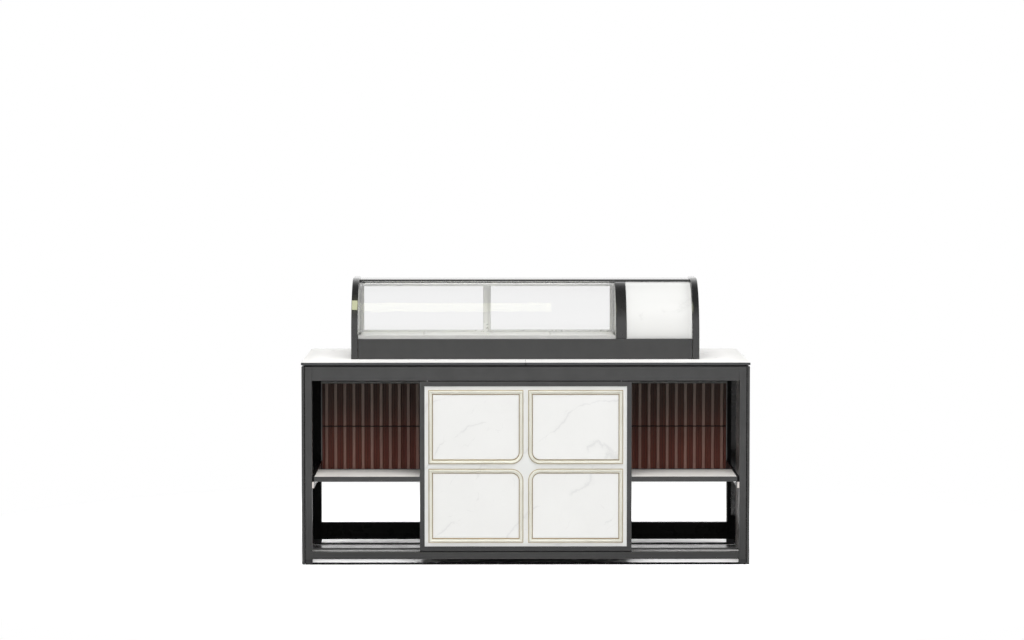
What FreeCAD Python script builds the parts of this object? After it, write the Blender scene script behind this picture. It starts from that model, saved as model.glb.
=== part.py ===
import FreeCAD, Part
import math
import os

os.makedirs("parts", exist_ok=True)

# Buffet serving station: a counter with two open side bays, a closed cabinet in the
# middle and a refrigerated display case on the worktop.
# Millimetres. Front faces -Y, +X is to the right of someone who stands in front, +Z is up.
# The origin is on the floor under the middle of the worktop.

# Worktop
worktop_width = 2000.0
worktop_depth = 900.0
worktop_height = 905.0
worktop_thick = 12.0
worktop_seam = 0.6
worktop_overhang = 3.0
worktop_side_overhang = 1.8
shadow_gap = 6.5
sub_top_inset = 12.0

# Frame
frame_depth = 760.0
front_leg_width = 30.0
rear_leg_width = 36.0
leg_depth = 50.0
tube_wall = 2.0
side_panel_thick = 11.2
side_panel_gap = 4.0
side_groove_depth = 35.0
side_panel_floor_gap = 2.0
foot_height = 25.0
foot_plug_height = 20.0
foot_plug_play = 0.2
apron_height = 63.0
apron_thick = 20.0
rail_set_back = 2.0
front_rail_height = 31.5
front_rail_depth = 32.0
rear_rail_height = 79.0
rear_rail_depth = 30.0
side_bar_thick = 10.0
stretcher_front = 150.0
stretcher_depth = 106.0
stretcher_thick = 9.0
runner_height = 6.5
runner_depth = 30.0

# Cable trunking on the right rear leg
trunking_width = 22.0
trunking_depth = 12.0
trunking_wall = 1.5
trunking_bottom = 138.0

# Side bay shelves
shelf_height = 395.0
shelf_tray_height = 23.0
shelf_depth = 312.0
shelf_tray_wall = 2.0
shelf_board_drop = 0.5
shelf_bar_height = 52.0
shelf_pin_radius = 4.0
shelf_pin_grip = 9.0
shelf_pin_reach = 12.0
shelf_pin_margin = 50.0

# Fluted tiles at the rear of the side bays
tile_columns = 11
tile_rows = 2
tile_height = 199.0
tile_joint = 1.2
tile_base_thick = 5.0
tile_rib_rise = 9.0
tile_rib_width = 11.0
tile_rib_slope = 6.0
tile_frame_side = 4.0
tile_frame_end = 9.0
tile_bottom = 345.0
tile_backer_thick = 12.0

# Cabinet
cabinet_width = 944.0
cabinet_board = 18.0
cabinet_rear_inset = 12.0
cabinet_shelf_height = 440.0
cabinet_shelf_set_back = 20.0
cabinet_door_gap = 2.0
cabinet_door_end_gap = 4.0

# Front panel
panel_gap = 4.0
panel_frame_border = 21.0
panel_rebate = 4.0
panel_board_thick = 10.0
panel_batten_width = 80.0
moulding_margin = 17.0
moulding_spacing = 21.5
moulding_width = 20.0
moulding_rise = 9.0
moulding_foot_rise = 4.0
moulding_slope = 4.0
moulding_corner_radius = 53.0
inset_slab_thick = 3.0
inset_slab_play = 0.5

# Cabinet hinges and handles
hinge_length = 60.0
hinge_leaf_width = 15.0
hinge_leaf_thick = 2.0
hinge_barrel_radius = 4.0
hinge_pin_radius = 2.5
hinge_play = 0.05
hinge_end_play = 0.3
hinge_barrel_stand = 0.3
hinge_from_end = 90.0
handle_length = 160.0
handle_radius = 6.0
handle_reach = 30.0
handle_from_edge = 38.0

# Display case
case_width = 1570.0
case_depth = 420.0
case_set_back = 202.0
case_base_height = 91.0
case_arc_start = 96.0
case_arc_radius = 260.0
end_panel_thick = 30.0
base_front_recess = 3.0
base_wall = 3.0
base_end_gap = 1.5
base_front_flange = 34.0
deck_thick = 6.0
glass_inset = 18.0
glass_thick = 6.0
glass_end_angle = 88.0
glass_end_gap = 1.0
glass_roof_gap = 0.5
roof_thick = 10.0
roof_set_back = 245.0
divider_thick = 47.5
divider_inset = 8.0
machine_bay_width = 298.5
machine_cover_thick = 8.0

# Cold deck contents
plate_count = 4
plate_gap = 4.0
plate_height = 8.0
plate_recess = 3.0
plate_rim = 8.0
plate_front_gap = 20.0
coil_runs = 6
coil_radius = 4.0
coil_pitch = 48.0
coil_end_margin = 60.0
coil_pocket_margin = 12.0
light_width = 16.0
light_height = 9.0
light_set_back = 30.0

# Sliding doors at the rear of the display
track_depth = 32.0
track_height = 6.0
track_floor = 2.0
top_track_height = 12.0
door_thick = 10.0
door_spacing = 12.0
door_outer_stile = 12.5
door_meeting_stile = 21.5
door_rail = 9.0
door_overlap = 11.0
door_side_gap = 1.0
door_lift_gap = 1.0
door_tongue = 5.0
door_tongue_play = 0.4
door_tongue_drop = 4.0
door_tongue_rise = 8.0
door_pane_thick = 4.0
door_pane_grip = 6.0
pull_width = 8.0
pull_height = 70.0
pull_depth = 2.5

# Machine bay
grille_thick = 2.0
grille_inset = 8.0
slot_count = 11
slot_height = 7.0
slot_pitch = 15.0
slot_margin = 16.0
control_width = 84.0
control_depth = 42.0
control_height = 130.0
control_drop = 14.0
knob_radius = 17.0
knob_depth = 14.0
knob_gap = 1.0
knob_grip_width = 7.0
knob_grip_inset = 1.7
knob_drop = 38.0
shaft_radius = 3.0
shaft_play = 0.05
shaft_end_play = 1.0
shaft_depth = 24.0
rocker_width = 14.0
rocker_height = 24.0
rocker_rise = 5.0
rocker_play = 0.5
rocker_swing_room = 3.5
rocker_tilt = 8.0
rocker_drop = 98.0
trunnion_radius = 2.0
trunnion_reach = 3.0
inlet_width = 48.0
inlet_height = 28.0
inlet_depth = 22.0
inlet_flange = 4.0
inlet_pocket_depth = 14.0
inlet_contact = 5.0
compressor_radius = 72.0
compressor_height = 150.0
compressor_foot = 10.0
condenser_depth = 44.0
condenser_height = 190.0
condenser_fins = 18
condenser_fin_thick = 1.5
condenser_tubes = 5
condenser_tube_radius = 4.0
condenser_gap = 8.0
fan_radius = 74.0
fan_blades = 5
fan_blade_width = 16.0
fan_hub_radius = 20.0
fan_gap = 8.0
motor_radius = 30.0
motor_depth = 46.0
motor_gap = 2.0
motor_bracket = 34.0
motor_bracket_inset = 4.0
spigot_radius = 8.0
spigot_bore = 5.5
spigot_length = 26.0
spigot_flange_radius = 14.0
spigot_flange_thick = 3.0
spigot_height = 30.0
screw_radius = 4.0
screw_rise = 2.0
screw_margin = 7.0

# Levels and planes that follow from the sizes above
frame_half = worktop_width / 2 - worktop_side_overhang
frame_front = -worktop_depth / 2 + worktop_overhang
frame_rear = frame_front + frame_depth
worktop_under = worktop_height - worktop_thick
frame_top = worktop_under - shadow_gap
apron_bottom = frame_top - apron_height
leg_outer = frame_half - side_panel_thick - side_panel_gap
leg_inner = leg_outer - front_leg_width
rear_leg_inner = leg_outer - rear_leg_width
front_leg_rear = frame_front + leg_depth
rear_leg_front = frame_rear - leg_depth
front_rail_top = foot_height + front_rail_height
front_rail_rear = frame_front + rail_set_back + front_rail_depth
rear_rail_top = foot_height + rear_rail_height
bar_inner = leg_inner - side_bar_thick
apron_front = frame_front + rail_set_back
apron_rear = apron_front + apron_thick
panel_bottom = front_rail_top + panel_gap
panel_top = apron_bottom - panel_gap
panel_rear = apron_rear
cabinet_half = cabinet_width / 2
cabinet_inner = cabinet_half - cabinet_board
cabinet_rear = frame_rear - cabinet_rear_inset
cabinet_floor_top = front_rail_top + cabinet_board
shelf_under = shelf_height - shelf_tray_height
case_front = -worktop_depth / 2 + case_set_back
case_rear = case_front + case_depth
case_half = case_width / 2
case_inner = case_half - end_panel_thick
base_top = worktop_height + case_base_height
arc_z = worktop_height + case_arc_start
arc_y = case_front + case_arc_radius
glass_radius = case_arc_radius - glass_inset
roof_under = arc_z + glass_radius + glass_roof_gap
divider_right = case_inner - machine_bay_width
divider_left = divider_right - divider_thick
deck_front = case_front + base_front_recess + base_front_flange
track_front = case_rear - track_depth
grille_rear = case_rear - grille_inset
grille_front = grille_rear - grille_thick


def vec(x, y, z):
    return FreeCAD.Vector(x, y, z)


def box(x0, x1, y0, y1, z0, z1):
    return Part.makeBox(x1 - x0, y1 - y0, z1 - z0, vec(x0, y0, z0))


def tube(x0, x1, y0, y1, z0, z1, along):
    # Rectangular tube, open at both ends of the named direction.
    t = {"x": 0.0, "y": 0.0, "z": 0.0}
    for axis in t:
        if axis != along:
            t[axis] = tube_wall
    inner = box(x0 + t["x"], x1 - t["x"], y0 + t["y"], y1 - t["y"], z0 + t["z"], z1 - t["z"])
    return box(x0, x1, y0, y1, z0, z1).cut(inner)


def mirrored(shape):
    return shape.mirror(vec(0, 0, 0), vec(1, 0, 0))


def both_sides(shape):
    return Part.makeCompound([shape, mirrored(shape)])


def rod(radius, start, end):
    direction = end.sub(start)
    return Part.makeCylinder(radius, direction.Length, start, direction)


def prism_x(points, x0, x1):
    # Outline in Y and Z, drawn out along X.
    wire = Part.makePolygon([vec(x0, y, z) for y, z in points + points[:1]])
    return Part.Face(wire).extrude(vec(x1 - x0, 0, 0))


def prism_z(points, z0, z1):
    # Outline in X and Y, drawn out along Z.
    wire = Part.makePolygon([vec(x, y, z0) for x, y in points + points[:1]])
    return Part.Face(wire).extrude(vec(0, 0, z1 - z0))


def save(name, shape):
    shape.exportStep("parts/" + name + ".step")


def on_arc(radius, angle):
    a = math.radians(angle)
    return vec(0, arc_y - radius * math.cos(a), arc_z + radius * math.sin(a))


def arc_edge(radius, a0, a1):
    middle = on_arc(radius, (a0 + a1) / 2)
    return Part.Arc(on_arc(radius, a0), middle, on_arc(radius, a1)).toShape()


def line_edge(a, b):
    return Part.LineSegment(a, b).toShape()


def drawn_along_x(edges, x0, x1):
    face = Part.Face(Part.Wire(edges))
    face.translate(vec(x0, 0, 0))
    return face.extrude(vec(x1 - x0, 0, 0))


def case_wall(inset, bottom, top, rear, x0, x1):
    # Upright wall of the case: straight front, round shoulder and flat top.
    radius = case_arc_radius - inset
    end = math.degrees(math.asin(min(1.0, (top - arc_z) / radius)))
    low = vec(0, arc_y - radius, bottom)
    tip = on_arc(radius, end)
    high = vec(0, rear, tip.z)
    heel = vec(0, rear, bottom)
    edges = [
        line_edge(low, on_arc(radius, 0)),
        arc_edge(radius, 0, end),
        line_edge(tip, high),
        line_edge(high, heel),
        line_edge(heel, low),
    ]
    return drawn_along_x(edges, x0, x1)


def case_sheet(thick, x0, x1):
    # Sheet that stands on the base and bends back under the roof.
    outer = glass_radius
    inner = glass_radius - thick
    low_out = vec(0, arc_y - outer, base_top)
    low_in = vec(0, arc_y - inner, base_top)
    edges = [
        line_edge(low_out, on_arc(outer, 0)),
        arc_edge(outer, 0, glass_end_angle),
        line_edge(on_arc(outer, glass_end_angle), on_arc(inner, glass_end_angle)),
        arc_edge(inner, glass_end_angle, 0),
        line_edge(on_arc(inner, 0), low_in),
        line_edge(low_in, low_out),
    ]
    return drawn_along_x(edges, x0, x1)


# Legs, feet and floor runners
front_leg = tube(leg_inner, leg_outer, frame_front, front_leg_rear, foot_height, frame_top, "z")
rear_leg = tube(rear_leg_inner, leg_outer, rear_leg_front, frame_rear, foot_height, frame_top, "z")


def foot(inner, y0, y1):
    inset = tube_wall + foot_plug_play
    block = box(inner, leg_outer, y0, y1, 0, foot_height)
    plug_top = foot_height + foot_plug_height
    plug = box(inner + inset, leg_outer - inset, y0 + inset, y1 - inset, foot_height, plug_top)
    return block.fuse(plug).removeSplitter()


front_runner_y = frame_front + rail_set_back
front_runner = box(-leg_inner, leg_inner, front_runner_y, front_runner_y + runner_depth, 0, runner_height)
rear_runner_y = rear_leg_front + rail_set_back
rear_runner_rear = rear_runner_y + runner_depth
rear_runner = box(-rear_leg_inner, rear_leg_inner, rear_runner_y, rear_runner_rear, 0, runner_height)

# Side panels outside the legs, each held off by a spacer strip beside every leg
groove_outer = leg_outer + side_panel_gap
side_panel = box(groove_outer, frame_half, frame_front, frame_rear, side_panel_floor_gap, frame_top)
spacers = []
for leg_y in (frame_front, rear_leg_front):
    spacer_y = leg_y + side_groove_depth
    spacers.append(box(leg_outer, groove_outer, spacer_y, leg_y + leg_depth, side_panel_floor_gap, frame_top))
side_panel = side_panel.fuse(spacers).removeSplitter()

# Aprons and rails
front_apron = tube(-leg_inner, leg_inner, apron_front, apron_rear, apron_bottom, frame_top, "x")
rear_apron_rear = frame_rear - rail_set_back
rear_apron_front = rear_apron_rear - apron_thick
rear_apron = tube(
    -rear_leg_inner,
    rear_leg_inner,
    rear_apron_front,
    rear_apron_rear,
    apron_bottom,
    frame_top,
    "x",
)
front_rail = tube(-leg_inner, leg_inner, apron_front, front_rail_rear, foot_height, front_rail_top, "x")
rear_rail_front = rear_leg_front
rear_rail_rear = rear_rail_front + rear_rail_depth
rear_rail = tube(
    -rear_leg_inner,
    rear_leg_inner,
    rear_rail_front,
    rear_rail_rear,
    foot_height,
    rear_rail_top,
    "x",
)
side_top_rail = tube(leg_inner, leg_outer, front_leg_rear, rear_leg_front, apron_bottom, frame_top, "y")

# Shelf side bar with blind holes for the shelf pins
shelf_rear = frame_front + shelf_depth
pin_z = shelf_under - shelf_pin_radius
pin_rows = [frame_front + shelf_pin_margin, shelf_rear - shelf_pin_margin]


def shelf_pin(face, towards, y, z):
    # Pin that goes into a board or bar at this face and stands out under a shelf.
    start = vec(face - towards * shelf_pin_grip, y, z)
    end = vec(face + towards * shelf_pin_reach, y, z)
    return rod(shelf_pin_radius, start, end)


bay_pins = []
for pin_y in pin_rows:
    bay_pins.append(shelf_pin(bar_inner, -1, pin_y, pin_z))
    bay_pins.append(shelf_pin(cabinet_half, 1, pin_y, pin_z))
shelf_bar_bottom = shelf_height - shelf_bar_height
shelf_bar = box(bar_inner, leg_inner, frame_front, rear_leg_front, shelf_bar_bottom, shelf_height)
shelf_bar = shelf_bar.cut(bay_pins)

# Lower stretcher, a flat bar from one side panel to the other
stretcher_y = frame_front + stretcher_front
stretcher_z = front_rail_top - stretcher_thick
stretcher = box(
    -groove_outer,
    groove_outer,
    stretcher_y,
    stretcher_y + stretcher_depth,
    stretcher_z,
    front_rail_top,
)

# Cable trunking in the corner of leg and side panel: two side strips with a cover between them
trunk_x1 = groove_outer
trunk_x0 = trunk_x1 - trunking_width
trunk_y0 = rear_leg_front - trunking_depth
trunk_left = trunk_x0 + trunking_wall
trunk_right = trunk_x1 - trunking_wall
trunk_strips = [
    box(trunk_x0, trunk_left, trunk_y0, rear_leg_front, trunking_bottom, apron_bottom),
    box(trunk_right, trunk_x1, trunk_y0, rear_leg_front, trunking_bottom, apron_bottom),
    box(trunk_left, trunk_right, trunk_y0, trunk_y0 + trunking_wall, trunking_bottom, apron_bottom),
]

# Sub top and worktop boards
sub_top = box(
    -frame_half + sub_top_inset,
    frame_half - sub_top_inset,
    frame_front + sub_top_inset,
    frame_rear - sub_top_inset,
    frame_top,
    worktop_under,
)
worktop_board = box(
    worktop_seam / 2,
    worktop_width / 2,
    -worktop_depth / 2,
    worktop_depth / 2,
    worktop_under,
    worktop_height,
)

# Shelf trays and boards in the side bays
tray_outer = box(cabinet_half, bar_inner, frame_front, shelf_rear, shelf_under, shelf_height)
tray_hollow = box(
    cabinet_half + shelf_tray_wall,
    bar_inner - shelf_tray_wall,
    frame_front + shelf_tray_wall,
    shelf_rear - shelf_tray_wall,
    shelf_under + shelf_tray_wall,
    shelf_height,
)
shelf_tray = tray_outer.cut(tray_hollow)
shelf_board = box(
    cabinet_half + shelf_tray_wall,
    bar_inner - shelf_tray_wall,
    frame_front + shelf_tray_wall,
    shelf_rear - shelf_tray_wall,
    shelf_under + shelf_tray_wall,
    shelf_height - shelf_board_drop,
)

# Fluted tiles, their frame and the backing board
tile_left = cabinet_half + tile_frame_side
tile_right = rear_leg_inner - tile_frame_side
tile_pitch = (tile_right - tile_left) / tile_columns
tile_top = tile_bottom + tile_frame_end + tile_rows * tile_height + (tile_rows + 1) * tile_joint
tile_field_bottom = tile_bottom + tile_frame_end
tile_back = rear_leg_front + tile_base_thick + tile_rib_rise
tile_valley = tile_back - tile_base_thick


def tile(x_middle, z0):
    half = (tile_pitch - tile_joint) / 2
    crest = tile_rib_width / 2
    toe = crest + tile_rib_slope
    outline = [
        (x_middle - half, tile_back),
        (x_middle + half, tile_back),
        (x_middle + half, tile_valley),
        (x_middle + toe, tile_valley),
        (x_middle + crest, rear_leg_front),
        (x_middle - crest, rear_leg_front),
        (x_middle - toe, tile_valley),
        (x_middle - half, tile_valley),
    ]
    return prism_z(outline, z0, z0 + tile_height)


tiles = []
for row in range(tile_rows):
    row_z = tile_field_bottom + tile_joint + row * (tile_height + tile_joint)
    for column in range(tile_columns):
        tiles.append(tile(tile_left + (column + 0.5) * tile_pitch, row_z))
tile_frame_top = tile_top + tile_frame_end
tile_frame = box(cabinet_half, rear_leg_inner, rear_leg_front, tile_back, tile_bottom, tile_frame_top)
tile_field = box(tile_left, tile_right, rear_leg_front, tile_back, tile_field_bottom, tile_top)
tile_frame = tile_frame.cut(tile_field)
backer_rear = tile_back + tile_backer_thick
tile_backer = box(cabinet_half, rear_leg_inner, tile_back, backer_rear, tile_bottom, apron_bottom)

# Cabinet box
cabinet_pins = []
inner_pin_rows = [panel_rear + shelf_pin_margin, cabinet_rear - cabinet_board - 2 * shelf_pin_margin]
for pin_y in inner_pin_rows:
    cabinet_pins.append(shelf_pin(cabinet_inner, -1, pin_y, cabinet_shelf_height - shelf_pin_radius))
cabinet_side = box(cabinet_inner, cabinet_half, panel_rear, cabinet_rear, front_rail_top, frame_top)
rail_notch = box(cabinet_inner, cabinet_half, rear_rail_front, cabinet_rear, front_rail_top, rear_rail_top)
apron_notch = box(
    cabinet_inner,
    cabinet_half,
    rear_apron_front,
    cabinet_rear,
    apron_bottom,
    frame_top,
)
cabinet_side = cabinet_side.cut([rail_notch, apron_notch] + cabinet_pins + bay_pins)
cabinet_floor = box(
    -cabinet_inner,
    cabinet_inner,
    panel_rear,
    rear_rail_front,
    front_rail_top,
    cabinet_floor_top,
)
door_rear = cabinet_rear
door_front = door_rear - cabinet_board
cabinet_shelf = box(
    -cabinet_inner + cabinet_door_gap,
    cabinet_inner - cabinet_door_gap,
    panel_rear + cabinet_shelf_set_back,
    door_front - cabinet_shelf_set_back,
    cabinet_shelf_height,
    cabinet_shelf_height + cabinet_board,
)

# Front panel: rebated frame, board behind the rebate, mouldings and inset slabs
panel_frame = box(-cabinet_half, cabinet_half, apron_front, panel_rear, panel_bottom, panel_top)
window_half = cabinet_half - panel_frame_border
window_bottom = panel_bottom + panel_frame_border
window_top = panel_top - panel_frame_border
board_front = apron_front + panel_rebate
board_half = window_half + panel_rebate
board_bottom = window_bottom - panel_rebate
board_top = window_top + panel_rebate
panel_window = box(-window_half, window_half, apron_front, board_front, window_bottom, window_top)
panel_seat = box(-board_half, board_half, board_front, panel_rear, board_bottom, board_top)
panel_frame = panel_frame.cut([panel_window, panel_seat])
panel_board = box(
    -board_half,
    board_half,
    board_front,
    board_front + panel_board_thick,
    board_bottom,
    board_top,
)
panel_batten = box(
    -panel_batten_width / 2,
    panel_batten_width / 2,
    board_front + panel_board_thick,
    panel_rear,
    board_bottom,
    board_top,
)
panel_board = panel_board.fuse(panel_batten).removeSplitter()
moulding_outer = window_half - moulding_margin
moulding_inner = moulding_spacing / 2
panel_middle = (window_bottom + window_top) / 2


def round_frame(inset, y, x0, x1, z0, z1, radius):
    # Closed outline, square but for one round corner at its high X and low Z end.
    left = x0 + inset
    right = x1 - inset
    low = z0 + inset
    high = z1 - inset
    r = radius - inset
    mid = r * (1 - math.sqrt(0.5))
    edges = [
        line_edge(vec(left, y, high), vec(right, y, high)),
        line_edge(vec(right, y, high), vec(right, y, low + r)),
        Part.Arc(vec(right, y, low + r), vec(right - mid, y, low + mid), vec(right - r, y, low)).toShape(),
        line_edge(vec(right - r, y, low), vec(left, y, low)),
        line_edge(vec(left, y, low), vec(left, y, high)),
    ]
    return Part.Wire(edges)


def tapered(inset0, y0, inset1, y1, bounds):
    first = round_frame(inset0, y0, *bounds)
    second = round_frame(inset1, y1, *bounds)
    return Part.makeLoft([first, second], True, True)


def moulding(x0, x1, z0, z1):
    bounds = (x0, x1, z0, z1, moulding_corner_radius)
    mid_y = board_front - moulding_foot_rise
    top_y = board_front - moulding_rise
    w = moulding_width
    s = moulding_slope
    foot_ring = tapered(0, board_front, 0, mid_y, bounds).cut(tapered(w, board_front, w, mid_y, bounds))
    crown = tapered(s / 2, mid_y, s * 1.5, top_y, bounds)
    crown = crown.cut(tapered(w - s / 2, mid_y, w - s * 1.5, top_y, bounds))
    return foot_ring.fuse(crown).removeSplitter()


def inset_slab(x0, x1, z0, z1):
    gap = moulding_width + inset_slab_play
    bounds = (x0, x1, z0, z1, moulding_corner_radius)
    return tapered(gap, board_front, gap, board_front - inset_slab_thick, bounds)


def four_ways(maker):
    # The top left piece is made; the others are its mirror images about the panel's middle.
    field_height = (window_top - window_bottom - 2 * moulding_margin - moulding_spacing) / 2
    z1 = window_top - moulding_margin
    first = maker(-moulding_outer, -moulding_inner, z1 - field_height, z1)
    below = first.mirror(vec(0, 0, panel_middle), vec(0, 0, 1))
    return Part.makeCompound([first, mirrored(first), below, mirrored(below)])


# Cabinet doors and handles
door_bottom = rear_rail_top + cabinet_door_end_gap
door_top = apron_bottom - cabinet_door_end_gap
right_door = box(
    cabinet_door_gap / 2,
    cabinet_inner - cabinet_door_gap,
    door_front,
    door_rear,
    door_bottom,
    door_top,
)


def bow_handle():
    x = handle_from_edge
    z0 = (door_bottom + door_top) / 2 - handle_length / 2
    z1 = z0 + handle_length
    y = door_rear + handle_reach - handle_radius
    bar = rod(handle_radius, vec(x, y, z0 - handle_radius * 2), vec(x, y, z1 + handle_radius * 2))
    low_post = rod(handle_radius * 0.8, vec(x, door_rear, z0), vec(x, y, z0))
    high_post = rod(handle_radius * 0.8, vec(x, door_rear, z1), vec(x, y, z1))
    return bar.fuse([low_post, high_post]).removeSplitter()


# Cabinet hinges: the axis runs along the gap between side and door, behind both
hinge_x = cabinet_inner - cabinet_door_gap / 2
hinge_y = door_rear + hinge_barrel_radius + hinge_barrel_stand
knuckle = hinge_length / 3


def knuckle_body(z0, z1, bore):
    barrel = rod(hinge_barrel_radius, vec(hinge_x, hinge_y, z0), vec(hinge_x, hinge_y, z1))
    return barrel, rod(bore, vec(hinge_x, hinge_y, z0), vec(hinge_x, hinge_y, z1))


def fixed_leaf(z0):
    edge = hinge_x + cabinet_door_gap / 2
    plate = box(edge, edge + hinge_leaf_width, door_rear, door_rear + hinge_leaf_thick, z0, z0 + hinge_length)
    room_ends = [vec(hinge_x, hinge_y, z0 + knuckle), vec(hinge_x, hinge_y, z0 + 2 * knuckle)]
    plate = plate.cut(rod(hinge_barrel_radius + hinge_end_play, room_ends[0], room_ends[1]))
    bodies = []
    bores = []
    for k in (0, 2):
        barrel, bore = knuckle_body(z0 + k * knuckle, z0 + (k + 1) * knuckle, hinge_pin_radius)
        web = box(
            hinge_x,
            edge,
            door_rear + hinge_barrel_stand,
            door_rear + hinge_leaf_thick,
            z0 + k * knuckle,
            z0 + (k + 1) * knuckle,
        )
        bodies.extend([barrel, web])
        bores.append(bore)
    return plate.fuse(bodies).cut(bores).removeSplitter()


def moving_leaf(z0):
    edge = hinge_x - cabinet_door_gap / 2
    low = z0 + knuckle + hinge_end_play
    high = z0 + 2 * knuckle - hinge_end_play
    plate = box(edge - hinge_leaf_width, edge, door_rear, door_rear + hinge_leaf_thick, z0, z0 + hinge_length)
    axis_start = vec(hinge_x, hinge_y, z0)
    axis_end = vec(hinge_x, hinge_y, z0 + hinge_length)
    plate = plate.cut(rod(hinge_barrel_radius + hinge_end_play, axis_start, axis_end))
    barrel, bore = knuckle_body(low, high, hinge_pin_radius + hinge_play)
    neck = edge - hinge_barrel_radius - 2 * hinge_end_play
    web = box(neck, hinge_x, door_rear + hinge_barrel_stand, door_rear + hinge_leaf_thick, low, high)
    return plate.fuse([barrel, web]).cut(bore).removeSplitter()


def hinge_pin(z0):
    return rod(hinge_pin_radius, vec(hinge_x, hinge_y, z0), vec(hinge_x, hinge_y, z0 + hinge_length))


hinge_starts = [door_bottom + hinge_from_end, door_top - hinge_from_end - hinge_length]
fixed_leaves = [fixed_leaf(z) for z in hinge_starts]
hinge_pins = [hinge_pin(z) for z in hinge_starts]
moving_leaves = Part.makeCompound([moving_leaf(z) for z in hinge_starts])
hinge_group = fixed_leaves + hinge_pins + [mirrored(s) for s in fixed_leaves + hinge_pins]

# Display case: base pan, a channel with a flange at the front and one at the rear
base_front = case_front + base_front_recess
base_half = case_inner - base_end_gap
w = base_wall
z0 = worktop_height
front_lip = base_front + base_front_flange
base_outline = [
    (base_front, z0),
    (case_rear, z0),
    (case_rear, base_top),
    (track_front, base_top),
    (track_front, base_top - w),
    (case_rear - w, base_top - w),
    (case_rear - w, z0 + w),
    (base_front + w, z0 + w),
    (base_front + w, base_top - w),
    (front_lip, base_top - w),
    (front_lip, base_top),
    (base_front, base_top),
]
base_pan = prism_x(base_outline, -base_half, base_half)
spigot_x = divider_left - 100
spigot_z = worktop_height + spigot_height
spigot_hole = rod(spigot_bore, vec(spigot_x, case_rear - w, spigot_z), vec(spigot_x, case_rear, spigot_z))
base_pan = base_pan.cut(spigot_hole)

# Insulation with a pocket for the evaporator coil, and the deck over both
deck_under = base_top - deck_thick
insulation = box(-base_half, base_half, base_front + w, case_rear - w, z0 + w, deck_under)
coil_width = (coil_runs - 1) * coil_pitch
coil_y0 = (deck_front + track_front - coil_width) / 2
coil_x0 = -base_half + coil_end_margin
coil_x1 = divider_left - coil_end_margin
coil_z = deck_under - coil_radius
pocket = box(
    coil_x0 - coil_pitch / 2 - coil_pocket_margin,
    coil_x1 + coil_pitch / 2 + coil_pocket_margin,
    coil_y0 - coil_pocket_margin,
    coil_y0 + coil_width + coil_pocket_margin,
    deck_under - 2 * coil_radius,
    deck_under,
)
insulation = insulation.cut(pocket)
deck = box(-base_half, base_half, front_lip, track_front, deck_under, base_top)
deck_step = box(-base_half, base_half, base_front + w, case_rear - w, deck_under, base_top - w)
deck = deck.fuse(deck_step).removeSplitter()


def coil():
    edges = []
    for run in range(coil_runs):
        y = coil_y0 + run * coil_pitch
        a = coil_x0 if run % 2 == 0 else coil_x1
        b = coil_x1 if run % 2 == 0 else coil_x0
        edges.append(line_edge(vec(a, y, coil_z), vec(b, y, coil_z)))
        if run < coil_runs - 1:
            bulge = coil_pitch / 2 if run % 2 == 0 else -coil_pitch / 2
            far = vec(b + bulge, y + coil_pitch / 2, coil_z)
            edges.append(Part.Arc(vec(b, y, coil_z), far, vec(b, y + coil_pitch, coil_z)).toShape())
    path = Part.Wire(edges)
    ring = Part.Wire([Part.makeCircle(coil_radius, vec(coil_x0, coil_y0, coil_z), vec(1, 0, 0))])
    return path.makePipeShell([ring], True, False)


# Food plates on the deck
plate_x0 = -case_inner + glass_end_gap
plate_span = divider_left - glass_end_gap - plate_x0
plate_width = (plate_span - (plate_count + 1) * plate_gap) / plate_count
plate_y0 = arc_y - glass_radius + glass_thick + plate_front_gap
plate_y1 = track_front - plate_gap
plates = []
for k in range(plate_count):
    x0 = plate_x0 + plate_gap + k * (plate_width + plate_gap)
    plate = box(x0, x0 + plate_width, plate_y0, plate_y1, base_top, base_top + plate_height)
    dish = box(
        x0 + plate_rim,
        x0 + plate_width - plate_rim,
        plate_y0 + plate_rim,
        plate_y1 - plate_rim,
        base_top + plate_height - plate_recess,
        base_top + plate_height,
    )
    plates.append(plate.cut(dish))

# End panels, divider, roof, glass and the cover of the machine bay
end_panel_top = arc_z + case_arc_radius
right_end_panel = case_wall(0, worktop_height, end_panel_top, case_rear, case_inner, case_half)
divider = case_wall(divider_inset, base_top, roof_under, case_rear, divider_left, divider_right)
roof_front = case_front + roof_set_back
roof = box(-case_inner, case_inner, roof_front, case_rear, roof_under, roof_under + roof_thick)
front_glass = case_sheet(glass_thick, -case_inner + glass_end_gap, divider_left - glass_end_gap)
machine_cover = case_sheet(machine_cover_thick, divider_right + glass_end_gap, case_inner - glass_end_gap)
light_y = arc_y + light_set_back
light_bar = box(
    -case_inner + 20,
    divider_left - 20,
    light_y,
    light_y + light_width,
    roof_under - light_height,
    roof_under,
)

# Door tracks: grooves for the tongues of two doors, one behind the other
first_door_y = track_front + track_depth / 2 - door_spacing / 2
second_door_y = first_door_y + door_spacing
bottom_track = box(-case_inner, divider_left, track_front, case_rear, base_top, base_top + track_height)
top_track_under = roof_under - top_track_height
top_track = box(-case_inner, divider_left, track_front, case_rear, top_track_under, roof_under)
groove_half = door_tongue / 2 + door_tongue_play
for y in (first_door_y, second_door_y):
    groove_low = box(
        -case_inner,
        divider_left,
        y - groove_half,
        y + groove_half,
        base_top + track_floor,
        base_top + track_height,
    )
    groove_high = box(
        -case_inner,
        divider_left,
        y - groove_half,
        y + groove_half,
        top_track_under,
        roof_under - track_floor,
    )
    bottom_track = bottom_track.cut(groove_low)
    top_track = top_track.cut(groove_high)

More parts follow.
